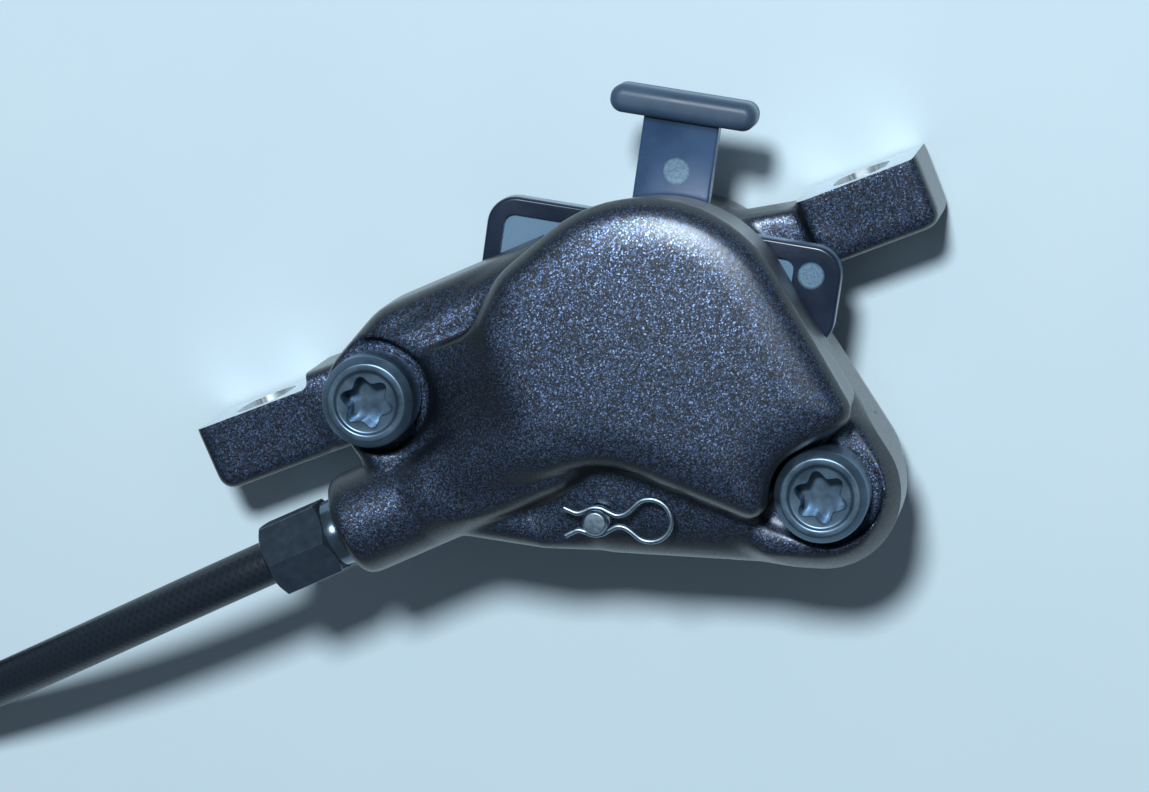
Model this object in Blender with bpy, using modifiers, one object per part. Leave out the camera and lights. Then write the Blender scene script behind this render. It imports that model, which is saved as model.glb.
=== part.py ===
# Two-piston hydraulic disc brake caliper for a bicycle, with its hose.
# It lies on the flat back of its outboard half. The rotor axis is Z, the line of the mounting
# ears is X, and the machined faces of the ears look along +Y, towards the hub.
import math

import bmesh
import bpy
from mathutils import Matrix, Vector

MM = 0.001

# Fits and clearances
FIT = 0.3 * MM
BOND = 0.05 * MM
OVERCUT = 2.0 * MM
CHAMFER = 0.4 * MM
FINE_CHAMFER = 0.3 * MM
DRILL_SPARE = 1.0 * MM

# Overall stack, measured up from the back of the outboard half
ROTOR_PLANE = 18.0 * MM
PARTING = 0.15 * MM
INBOARD_FACE = 36.0 * MM
SHOULDER_TOP = 29.6 * MM
OUTBOARD_BASE = 5.2 * MM
PAD_TILT = math.radians(30.0)

# Cast edges
FACE_EDGE = 1.9 * MM
SHOULDER_EDGE = 2.8 * MM
EAR_EDGE = 1.3 * MM
ARC_STEP = math.radians(20.0)
SMALL_CORNER = 1.5 * MM
NEAREST_POINTS = 0.05 * MM

# Pistons and bores
PISTON_R = 10.7 * MM
PISTON_LENGTH = 7.0 * MM
PISTON_CUP_R = 8.2 * MM
PISTON_CUP_DEPTH = 4.6 * MM
BORE_R = PISTON_R + FIT
BORE_END = 15.2 * MM
ARCH_WALL = 5.5 * MM
ARCH_R = BORE_R + ARCH_WALL
SHIELD_DRAFT = 0.905
PARTING_ARCH_R = SHIELD_DRAFT * ARCH_R
SEAL_WIDTH = 2.0 * MM
SEAL_DEPTH = 1.7 * MM
SEAL_LEVEL = 10.2 * MM
PISTON_SETBACK = 0.75 * MM
PISTON_CHAMFER = 0.5 * MM

# Pads and their pocket
PAD_MID = -1.5 * MM
PAD_WIDTH = 25.8 * MM
PAD_TOP = 9.8 * MM
PAD_BOTTOM = -9.6 * MM
PAD_CORNER = 2.2 * MM
PAD_TAB_WIDTH = 9.0 * MM
PAD_TAB_CORNER = 2.4 * MM
PAD_TAB_HOLLOW = 1.6 * MM
BACKING = 1.8 * MM
LINING = 2.0 * MM
LINING_WIDTH = PAD_WIDTH - 4.2 * MM
LINING_TOP = PAD_TOP - 1.0 * MM
LINING_BOTTOM = PAD_BOTTOM + 2.2 * MM
LINING_CORNER = 2.5 * MM
SPRING_SHEET = 0.35 * MM
SPRING_LEG = 1.4 * MM
SPRING_BRIDGE_WIDTH = 7.0 * MM
SPRING_BRIDGE_AT = -11.4 * MM
SPRING_TOP_GAP = 2.0 * MM
SPRING_CORNER = 1.2 * MM
SPRING_WINDOW_CORNER = 0.8 * MM
SPRING_FOOT_LAP = 0.6 * MM

# Rotor that the caliper is made for
ROTOR_R = 80.0 * MM
TRACK_MID_R = 72.5 * MM
ROTOR_GAP = 1.5 * MM
SLOT_HALF = 2.4 * MM
SLOT_REACH = 46.0 * MM

# Transport spacer in the rotor slot
SPACER = 2.6 * MM
SPACER_TONGUE_WIDTH = 21.0 * MM
SPACER_TONGUE_END = -8.4 * MM
SPACER_TONGUE_CORNER = 2.0 * MM
WING_HALF = 19.9 * MM
WING_TOP = 11.9 * MM
WING_BOTTOM = 0.6 * MM
WING_CORNER = 3.2 * MM
WING_RIM = 1.9 * MM
WING_WEB = 1.3 * MM
WING_EDGE = 0.3 * MM
PANEL_CORNER = 1.2 * MM
STEM_WIDTH = 8.4 * MM
HANDLE_LENGTH = 16.2 * MM
HANDLE_DEPTH = 5.4 * MM
HANDLE_THICK = 3.1 * MM
HANDLE_END = 26.2 * MM
HANDLE_CORNER = 1.2 * MM
HANDLE_EDGE = 0.8 * MM

# Mounting ears
EAR_SPACING = 74.2 * MM
EAR_MID = -12.0 * MM
EAR_LENGTH = 14.4 * MM
EAR_THICK = 8.0 * MM
EAR_FACE = 7.6 * MM
EAR_LOW = 1.0 * MM
EAR_HIGH = 15.3 * MM
EAR_CORNER = 1.7 * MM
EAR_SLOT_WIDTH = 6.4 * MM
EAR_SLOT_LENGTH = 10.2 * MM
FACE_STEP = 1.1 * MM
ARM_LOW = 3.5 * MM
ARM_HIGH = 13.6 * MM
ARM_ROOT = (4.0 * MM, 3.5 * MM, 6.0 * MM)
ARM_MID = 3.7 * MM
ARM_TIP_R = 2.2 * MM

# Body bolts
HOSE_BOLT = Vector((-31.0 * MM, 5.2 * MM))
FAR_BOLT = Vector((11.8 * MM, -21.5 * MM))
BOLT_R = 3.0 * MM
BOLT_HEAD_R = 5.1 * MM
BOLT_HEAD = 5.4 * MM
BOLT_END = 6.4 * MM
BOLT_POINT = 0.7 * MM
HEAD_CHAMFER = 0.85 * MM
HEAD_LAND_R = 3.5 * MM
HEAD_LAND_R_LOW = 3.2 * MM
HEAD_DIP = 0.35 * MM
SOCKET_R = 2.85 * MM
SOCKET_WAIST = 2.1 * MM
SOCKET_DEPTH = 3.2 * MM
BOLT_SEAT = 27.6 * MM
POCKET_R = 6.4 * MM
LOBE_RIM = 2.2 * MM
FAR_LOBE_SHIFT = Vector((-0.9 * MM, -0.6 * MM))
HOSE_LOBE_RIM = 1.0 * MM

# Body outline between the bolts
SHOULDER = Vector((-25.5 * MM, 6.4 * MM))
SHOULDER_R = 7.6 * MM
PORT_ROOT = Vector((-29.5 * MM, -6.5 * MM))
PORT_ROOT_R = 5.0 * MM
WEB = Vector((-10.0 * MM, -14.0 * MM))
WEB_R = 7.8 * MM
OUTBOARD_INSET = 1.3 * MM

# Round corners of the raised face, a hollow having a negative radius
SHIELD_FAR_TIP = (16.4 * MM, -13.2 * MM, 2.2 * MM)
SHIELD_FLANK = (-8.5 * MM, 6.5 * MM, 7.6 * MM)
SHIELD_VALLEY = (-19.5 * MM, 12.6 * MM, -4.3 * MM)
SHIELD_HOSE_TIP = (-24.6 * MM, 5.2 * MM, 3.0 * MM)
SHIELD_PORT_TIP = (-23.6 * MM, -4.9 * MM, 4.0 * MM)
SHIELD_WEB_HOLLOW = (-13.0 * MM, -19.5 * MM, -10.0 * MM)
SHIELD_LOW_TIP = (4.6 * MM, -19.4 * MM, 2.0 * MM)
SHIELD_BOLT_HOLLOW = 1.0 * MM
SLOPE_START = -13.5 * MM
SLOPE_TILT = math.radians(-29.0)

# Round corners of the flat back
BACK_EDGE = 1.6 * MM
BACK_HOSE_CORNER = (-24.0 * MM, 0.5 * MM, 7.5 * MM)
BACK_WEB_CORNER = (-13.0 * MM, -12.0 * MM, 5.5 * MM)
BACK_FAR_CORNER = (8.0 * MM, -14.0 * MM, 6.5 * MM)

# Pad axle and its clip
AXLE = Vector((-12.5 * MM, -15.9 * MM))
AXLE_R = 1.4 * MM
AXLE_END = 32.4 * MM
AXLE_HEAD_R = 2.6 * MM
AXLE_HEAD = 1.6 * MM
AXLE_KEY = 1.3 * MM
CLIP_LEVEL = 31.0 * MM
CLIP_WIRE = 0.6 * MM
CLIP_GROOVE_R = 1.0 * MM
CLIP_EYE_R = 2.35 * MM
CLIP_EYE_AT = 5.9 * MM
CLIP_TAIL = 3.4 * MM
CLIP_TAIL_SPREAD = 1.5 * MM
CLIP_PINCH = 0.95 * MM
CLIP_THROAT = 0.75 * MM
CLIP_THROAT_AT = 2.2 * MM
CLIP_GRIP_GAP = 0.12 * MM
CLIP_TILT = math.radians(-19.0)

# Hose port, nut and fittings
PORT_MOUTH = Vector((-40.6 * MM, -7.85 * MM, 25.0 * MM))
PORT_TILT = math.radians(3.2)
PORT_LINE = Vector((math.cos(PORT_TILT), math.sin(PORT_TILT), 0.0))
BARREL_R = 5.9 * MM
BARREL_LENGTH = 22.0 * MM
BARREL_EDGE = 1.3 * MM
PORT_THREAD_R = 4.2 * MM
PORT_DEPTH = 10.6 * MM
PILOT_DEPTH = 3.6 * MM
NUT_FLATS = 8.0 * MM
NUT_HEX = 7.8 * MM
NUT_COLLAR = 1.3 * MM
NUT_THREAD = 6.1 * MM
NUT_CHAMFER = 0.6 * MM
NUT_CHAMFER_DEPTH = 0.75 * MM
HOSE_R = 2.5 * MM
HOSE_BORE_R = 1.3 * MM
HOSE_STEP = 7.0 * MM
OLIVE_LENGTH = 2.8 * MM
OLIVE_TAPER = 0.9 * MM
BARB_SHANK_R = 1.0 * MM
BARB_SHANK = 9.0 * MM
BARB_FLANGE = 0.8 * MM
DRILL_R = 1.0 * MM
FEED_EXIT = Vector((-7.7 * MM, -4.1 * MM))
FEED_DROP = 1.4 * MM

# Passage between the halves, and the bleed screw
CROSSOVER = Vector((-25.5 * MM, -7.0 * MM))
CROSS_SEAL_R = 1.75 * MM
CROSS_SEAL_CORD = 0.5 * MM
BLEED_LEVEL = 9.6 * MM
BLEED_END = -37.0 * MM
BLEED_BOSS_R = 4.4 * MM
BLEED_BOSS_LENGTH = 14.0 * MM
BLEED_BOSS_EDGE = 0.6 * MM
BLEED_R = 2.5 * MM
BLEED_HEAD_R = 3.3 * MM
BLEED_HEAD = 2.2 * MM
BLEED_SHANK = 6.0 * MM
BLEED_KEY = 1.5 * MM
BLEED_POINT = 1.2 * MM
BLEED_SEAL = 0.8 * MM

# Coil of the hose: two turns wide and two turns high
COIL_CENTRE = Vector((-131.0 * MM, 18.3 * MM))
COIL_MID_R = 30.0 * MM
COIL_PITCH = 2.0 * HOSE_R + 0.2 * MM
FLOOR_GAP = 0.1 * MM

TAU = 2.0 * math.pi
TURN_SLACK = 1e-4

for leftover in list(bpy.data.objects):
    bpy.data.objects.remove(leftover, do_unlink=True)

parts = bpy.data.collections.new("disc_brake_caliper")
cutters = bpy.data.collections.new("cutters")
bpy.context.scene.collection.children.link(parts)
bpy.context.scene.collection.children.link(cutters)


# Finishes
def finish(name, colour, roughness, metallic):
    """One Principled material with the piece's colour, roughness and metallic value."""
    material = bpy.data.materials.new(name)
    material.use_nodes = True
    shader = material.node_tree.nodes["Principled BSDF"]
    shader.inputs["Base Color"].default_value = (*colour, 1.0)
    shader.inputs["Roughness"].default_value = roughness
    shader.inputs["Metallic"].default_value = metallic
    material.diffuse_color = (*colour, 1.0)
    return material


def wear(piece, material):
    """Give a piece its material."""
    piece.data.materials.clear()
    piece.data.materials.append(material)


# Outlines
def belt(circles):
    """Outline that runs anticlockwise round circles (x, y, radius) like a belt.

    A circle with a negative radius is passed on its other side and makes a hollow."""
    count = len(circles)
    normals = []
    for index in range(count):
        here = circles[index]
        there = circles[(index + 1) % count]
        gap = Vector((there[0] - here[0], there[1] - here[1]))
        turn = math.acos((here[2] - there[2]) / gap.length)
        normals.append(math.atan2(gap.y, gap.x) - turn)
    outline = []
    for index in range(count):
        x, y, radius = circles[index]
        first = normals[index - 1]
        sweep = (normals[index] - first + TURN_SLACK) % TAU - TURN_SLACK
        if radius < 0.0 and sweep > TURN_SLACK:
            sweep -= TAU
        arc_step = ARC_STEP if abs(radius) > SMALL_CORNER else 2.0 * ARC_STEP
        pieces = max(1, math.ceil(abs(sweep) / arc_step - 1e-6))
        for step in range(pieces + 1):
            angle = first + sweep * step / pieces
            point = Vector((x + radius * math.cos(angle), y + radius * math.sin(angle)))
            if not outline or (point - outline[-1]).length > NEAREST_POINTS:
                outline.append(point)
    if (outline[0] - outline[-1]).length < NEAREST_POINTS:
        outline.pop()
    return outline


def rounded_box(left, right, low, high, corner):
    """Outline of a rectangle with round corners."""
    centres = [(right - corner, low + corner), (right - corner, high - corner),
               (left + corner, high - corner), (left + corner, low + corner)]
    return belt([(x, y, corner) for x, y in centres])


def circle(radius, sides, start=0.0):
    """Points of a regular outline about the origin."""
    return [(radius * math.cos(start + TAU * k / sides),
             radius * math.sin(start + TAU * k / sides)) for k in range(sides)]


# Solids
def welded(name, source, collection, flat=False):
    """Turn a curve object into a closed mesh object in the same place."""
    graph = bpy.context.evaluated_depsgraph_get()
    mesh = bpy.data.meshes.new_from_object(source.evaluated_get(graph))
    cage = bmesh.new()
    cage.from_mesh(mesh)
    bmesh.ops.remove_doubles(cage, verts=cage.verts, dist=0.001 * MM)
    if flat:
        for level in (min(v.co.z for v in cage.verts), max(v.co.z for v in cage.verts)):
            cap = [face for face in cage.faces
                   if all(abs(v.co.z - level) < 1e-9 for v in face.verts)]
            bmesh.ops.dissolve_faces(cage, faces=cap)
    bmesh.ops.recalc_face_normals(cage, faces=cage.faces)
    cage.to_mesh(mesh)
    cage.free()
    piece = bpy.data.objects.new(name, mesh)
    collection.objects.link(piece)
    piece.matrix_world = source.matrix_world.copy()
    bpy.data.objects.remove(source, do_unlink=True)
    return piece


def plate(name, outline, low, high, collection=None):
    """Flat outline extruded from low to high."""
    shape = bpy.data.curves.new(name, "CURVE")
    shape.dimensions = "2D"
    shape.fill_mode = "BOTH"
    shape.extrude = (high - low) / 2.0
    spline = shape.splines.new("POLY")
    spline.points.add(len(outline) - 1)
    for point, (x, y) in zip(spline.points, outline):
        point.co = (x, y, 0.0, 1.0)
    spline.use_cyclic_u = True
    curve = bpy.data.objects.new("outline", shape)
    cutters.objects.link(curve)
    bpy.context.view_layer.update()
    piece = welded(name, curve, collection or cutters, flat=True)
    piece.data.transform(Matrix.Translation((0.0, 0.0, (low + high) / 2.0)))
    return piece


def cylinder(name, radius, low, high, sides=24, collection=None):
    """Round bar about Z from low to high."""
    cage = bmesh.new()
    bmesh.ops.create_cone(cage, cap_ends=True, segments=sides, radius1=radius, radius2=radius,
                          depth=high - low,
                          matrix=Matrix.Translation((0.0, 0.0, (low + high) / 2.0)))
    mesh = bpy.data.meshes.new(name)
    cage.to_mesh(mesh)
    cage.free()
    piece = bpy.data.objects.new(name, mesh)
    (collection or cutters).objects.link(piece)
    return piece


def turned(name, profile, steps, collection=None, closed=False):
    """Profile of (radius, height) points turned about Z with a Screw modifier.

    The points run down the outer side, from top to bottom."""
    mesh = bpy.data.meshes.new(name)
    vertices = [(radius, 0.0, height) for radius, height in profile]
    edges = [(k, k + 1) for k in range(len(profile) - 1)]
    if closed:
        edges.append((len(profile) - 1, 0))
    mesh.from_pydata(vertices, edges, [])
    piece = bpy.data.objects.new(name, mesh)
    (collection or cutters).objects.link(piece)
    screw = piece.modifiers.new("turn", "SCREW")
    screw.axis = "Z"
    screw.steps = steps
    screw.render_steps = steps
    screw.use_merge_vertices = True
    screw.merge_threshold = 0.00001
    screw.use_smooth_shade = False
    return piece


def edge_round(piece, width, segments=2, at_top=True, at_bottom=False):
    """Round the rim of a plate's top or bottom face."""
    heights = [vertex.co.z for vertex in piece.data.vertices]
    levels = []
    if at_top:
        levels.append(max(heights))
    if at_bottom:
        levels.append(min(heights))
    cage = bmesh.new()
    cage.from_mesh(piece.data)
    weight = cage.edges.layers.float.new("bevel_weight_edge")
    for edge in cage.edges:
        rim = any(all(abs(v.co.z - level) < 1e-7 for v in edge.verts) for level in levels)
        if rim and edge.calc_face_angle(0.0) > math.radians(45.0):
            edge[weight] = 1.0
    cage.to_mesh(piece.data)
    cage.free()
    bevel = piece.modifiers.new("edge", "BEVEL")
    bevel.width = width
    bevel.segments = segments
    bevel.limit_method = "WEIGHT"
    bevel.use_clamp_overlap = False
    return piece


def draft(piece, factor):
    """Draw a plate in towards the Z axis at its lower face, as a casting is to leave its mould."""
    low = min(vertex.co.z for vertex in piece.data.vertices)
    for vertex in piece.data.vertices:
        if vertex.co.z < low + 0.001 * MM:
            vertex.co.x *= factor
            vertex.co.y *= factor


def place(piece, x=0.0, y=0.0, z=0.0, turn=(0.0, 0.0, 0.0), parent=None):
    """Put a piece at its place, in the world or in its parent's frame."""
    piece.location = (x, y, z)
    piece.rotation_euler = turn
    piece.parent = parent
    return piece


def along(piece, start, end):
    """Lay a piece made about Z along the line from start to end, with its foot at start."""
    start = Vector(start)
    heading = (Vector(end) - start).to_track_quat("Z", "Y")
    piece.rotation_euler = heading.to_euler()
    piece.location = start
    return piece


def hide(tool):
    """Keep a cutting or joining shape out of the finished part."""
    tool.hide_render = True
    tool.display_type = "WIRE"


def combine(piece, tool, operation):
    """Cut a tool from a piece, or join it on."""
    hide(tool)
    step = piece.modifiers.new(tool.name, "BOOLEAN")
    step.operation = operation
    step.object = tool
    step.solver = "EXACT"


def cut(piece, *tools):
    for tool in tools:
        combine(piece, tool, "DIFFERENCE")


def join(piece, *tools):
    for tool in tools:
        combine(piece, tool, "UNION")


def shade(piece):
    """Smooth the round faces and keep the edges sharp."""
    piece.data.shade_smooth()
    piece.data.set_sharp_from_angle(angle=math.radians(35.0))


def tube(name, points, radius, sides_level, collection):
    """Round wire or hose along a row of points, with closed ends."""
    shape = bpy.data.curves.new(name, "CURVE")
    shape.dimensions = "3D"
    shape.bevel_depth = radius
    shape.bevel_resolution = sides_level
    shape.use_fill_caps = True
    spline = shape.splines.new("POLY")
    spline.points.add(len(points) - 1)
    for point, place_ in zip(spline.points, points):
        point.co = (*place_, 1.0)
    curve = bpy.data.objects.new("outline", shape)
    cutters.objects.link(curve)
    bpy.context.view_layer.update()
    return welded(name, curve, collection)


# Frame of the pads, turned to face the hub, with its origin on the piston axis
pad_frame = bpy.data.objects.new("pad_frame", None)
parts.objects.link(pad_frame)
place(pad_frame, z=ROTOR_PLANE, turn=(0.0, 0.0, -PAD_TILT))
bpy.context.view_layer.update()


def in_pad_frame(point):
    """World place on the rotor plane, given in the pad frame."""
    return pad_frame.matrix_world.inverted() @ Vector((point[0], point[1], ROTOR_PLANE))


AXLE_IN_PADS = in_pad_frame(AXLE)

paint = finish("satin_black_paint", (0.018, 0.019, 0.024), 0.42, 0.25)
blackened = finish("blackened_steel", (0.06, 0.065, 0.075), 0.34, 0.9)
steel = finish("zinc_steel", (0.45, 0.45, 0.46), 0.35, 1.0)
brass = finish("brass", (0.62, 0.44, 0.18), 0.3, 1.0)
phenolic = finish("phenolic", (0.05, 0.045, 0.04), 0.5, 0.0)
rubber = finish("seal_rubber", (0.012, 0.012, 0.012), 0.6, 0.0)
friction = finish("friction_lining", (0.09, 0.075, 0.06), 0.9, 0.1)
spacer_plastic = finish("spacer_plastic", (0.012, 0.018, 0.032), 0.32, 0.0)
hose_skin = finish("hose_skin", (0.012, 0.013, 0.016), 0.38, 0.0)


# Heights in the pad frame, up from the rotor plane to each side
LINING_FACE = SPACER / 2.0 + FIT
BACKING_FACE = LINING_FACE + LINING + BOND
PISTON_FACE = BACKING_FACE + BACKING + FIT
POCKET_DEPTH = PISTON_FACE + PISTON_SETBACK


# Rotor slot: what the rotor sweeps, open towards the hub
def slot_outline():
    swept = ROTOR_R + ROTOR_GAP
    half = math.asin(SLOT_REACH / swept)
    pieces = 12
    arc = []
    for k in range(pieces + 1):
        angle = -half + 2.0 * half * k / pieces
        arc.append((swept * math.sin(angle), TRACK_MID_R - swept * math.cos(angle)))
    return arc + [(SLOT_REACH, SLOT_REACH), (-SLOT_REACH, SLOT_REACH)]


def pad_space(body, side):
    """Cut the rotor slot, pad pocket, piston bore and seal groove from one half."""
    slot = plate("rotor_slot_" + side, slot_outline(), -SLOT_HALF, SLOT_HALF)
    half = PAD_WIDTH / 2.0 + FIT
    pocket = plate("pad_pocket_" + side,
                   rounded_box(PAD_MID - half, PAD_MID + half,
                               AXLE_IN_PADS.y - 4.0 * WEB_R, PAD_TOP + FIT, PAD_CORNER),
                   -POCKET_DEPTH, POCKET_DEPTH)
    heights = (POCKET_DEPTH - OVERCUT, BORE_END)
    groove = (SEAL_LEVEL - SEAL_WIDTH / 2.0 - FIT / 2.0, SEAL_LEVEL + SEAL_WIDTH / 2.0 + FIT / 2.0)
    if side == "outboard":
        heights = (-heights[1], -heights[0])
        groove = (-groove[1], -groove[0])
    bore = cylinder("piston_bore_" + side, BORE_R, *heights, sides=28)
    ring = cylinder("seal_groove_" + side, BORE_R + SEAL_DEPTH + FIT, *groove, sides=28)
    for tool in (slot, pocket, bore, ring):
        place(tool, parent=pad_frame)
    cut(body, slot, pocket, bore, ring)


# Sizes that follow from the bolts and the pad axle
FAR_LOBE_R = POCKET_R + LOBE_RIM
HOSE_LOBE_R = BOLT_HEAD_R + HOSE_LOBE_RIM
AXLE_SEAT = OUTBOARD_BASE + AXLE_HEAD + CHAMFER


def body_plan(inset=0.0):
    """Outline that both halves share: bolt lobes, arch over the pistons, shoulder and web."""
    far_lobe = FAR_BOLT + FAR_LOBE_SHIFT
    return belt([(far_lobe.x, far_lobe.y, FAR_LOBE_R - inset),
                 (0.0, 0.0, PARTING_ARCH_R - inset),
                 (SHOULDER.x, SHOULDER.y, SHOULDER_R - inset),
                 (HOSE_BOLT.x, HOSE_BOLT.y, HOSE_LOBE_R - inset),
                 (PORT_ROOT.x, PORT_ROOT.y, PORT_ROOT_R - inset),
                 (WEB.x, WEB.y, WEB_R - inset)])


def inboard_shield():
    """Raised face over the inboard piston, hollowed round the bolt pocket and the pad web."""
    return belt([SHIELD_FAR_TIP, (0.0, 0.0, ARCH_R), SHIELD_FLANK, SHIELD_VALLEY,
                 SHIELD_HOSE_TIP, SHIELD_PORT_TIP, SHIELD_WEB_HOLLOW, SHIELD_LOW_TIP,
                 (FAR_BOLT.x, FAR_BOLT.y, SHIELD_BOLT_HOLLOW - POCKET_R)])


def on_port_line(piece):
    """Lay a piece made about Z along the hose port, with its foot at the mouth."""
    along(piece, PORT_MOUTH, PORT_MOUTH + PORT_LINE)


# Inboard half: cast with the hose port, machined for its piston
def inboard_half():
    body = plate("inboard_body", body_plan(), ROTOR_PLANE + PARTING, SHOULDER_TOP, parts)
    edge_round(body, SHOULDER_EDGE, segments=3)
    shield = plate("inboard_shield", inboard_shield(), ROTOR_PLANE + PARTING, INBOARD_FACE)
    draft(shield, SHIELD_DRAFT)
    edge_round(shield, FACE_EDGE, segments=3)
    slope = plate("shield_slope", rounded_box(-INBOARD_FACE, 0.0, -INBOARD_FACE, INBOARD_FACE, FIT),
                  0.0, INBOARD_FACE)
    place(slope, x=SLOPE_START, z=INBOARD_FACE, turn=(0.0, SLOPE_TILT, 0.0))
    cut(shield, slope)
    barrel = cylinder("hose_barrel", BARREL_R, 0.0, BARREL_LENGTH, sides=22)
    edge_round(barrel, BARREL_EDGE, at_top=False, at_bottom=True)
    on_port_line(barrel)
    join(body, shield, barrel)

    pad_space(body, "inboard")
    for where, name in ((HOSE_BOLT, "hose"), (FAR_BOLT, "far")):
        hole = cylinder(name + "_bolt_hole", BOLT_R + FIT, ROTOR_PLANE - OVERCUT,
                        INBOARD_FACE, sides=16)
        place(hole, where.x, where.y)
        seat = cylinder(name + "_bolt_seat", POCKET_R, BOLT_SEAT, INBOARD_FACE + OVERCUT, sides=24)
        place(seat, where.x, where.y)
        cut(body, seat, hole)
    axle_hole = cylinder("inboard_axle_hole", AXLE_R + FIT, ROTOR_PLANE, INBOARD_FACE, sides=16)
    place(axle_hole, AXLE.x, AXLE.y)
    cut(body, axle_hole)

    port = cylinder("port_thread", PORT_THREAD_R, -OVERCUT, PORT_DEPTH, sides=20)
    pilot = cylinder("port_pilot", HOSE_R + FIT, 0.0, PORT_DEPTH + PILOT_DEPTH, sides=20)
    on_port_line(port)
    on_port_line(pilot)
    feed_start = PORT_MOUTH + PORT_LINE * (PORT_DEPTH + PILOT_DEPTH - DRILL_R / 2.0)
    feed_end = Vector((*FEED_EXIT, ROTOR_PLANE + BORE_END - FEED_DROP))
    feed = cylinder("inboard_feed", DRILL_R, 0.0, (feed_end - feed_start).length, sides=12)
    along(feed, feed_start, feed_end)
    riser = cylinder("inboard_crossover", DRILL_R, ROTOR_PLANE - OVERCUT, PORT_MOUTH.z, sides=12)
    place(riser, CROSSOVER.x, CROSSOVER.y)
    recess = cylinder("crossover_recess", CROSS_SEAL_R + CROSS_SEAL_CORD + FIT,
                      ROTOR_PLANE - OVERCUT, ROTOR_PLANE + 2.0 * CROSS_SEAL_CORD, sides=20)
    place(recess, CROSSOVER.x, CROSSOVER.y)
    cut(body, port, pilot, feed, riser, recess)
    wear(body, paint)
    return body


# Outboard half: cast with both mounting ears, and flat on its back
def ear(name, centre, inner):
    """One ear with its end towards the body drawn out to the x of inner."""
    outer = centre + math.copysign(EAR_LENGTH / 2.0, centre - inner)
    left, right = sorted((outer, inner))
    block = plate(name, rounded_box(left, right, EAR_FACE - EAR_THICK, EAR_FACE, EAR_CORNER),
                  EAR_LOW, EAR_HIGH)
    edge_round(block, EAR_EDGE, segments=2, at_bottom=True)
    return block


def ear_slot(name, centre):
    """Slot for the mounting bolt, long along the rotor axis so that the caliper can be set."""
    reach = (EAR_SLOT_LENGTH - EAR_SLOT_WIDTH) / 2.0
    radius = EAR_SLOT_WIDTH / 2.0
    shape = plate(name, belt([(0.0, -reach, radius), (0.0, reach, radius)]),
                  -EAR_THICK, EAR_THICK)
    return place(shape, centre, EAR_FACE - EAR_THICK / 2.0, (EAR_LOW + EAR_HIGH) / 2.0,
                 turn=(math.radians(90.0), 0.0, 0.0))


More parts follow.
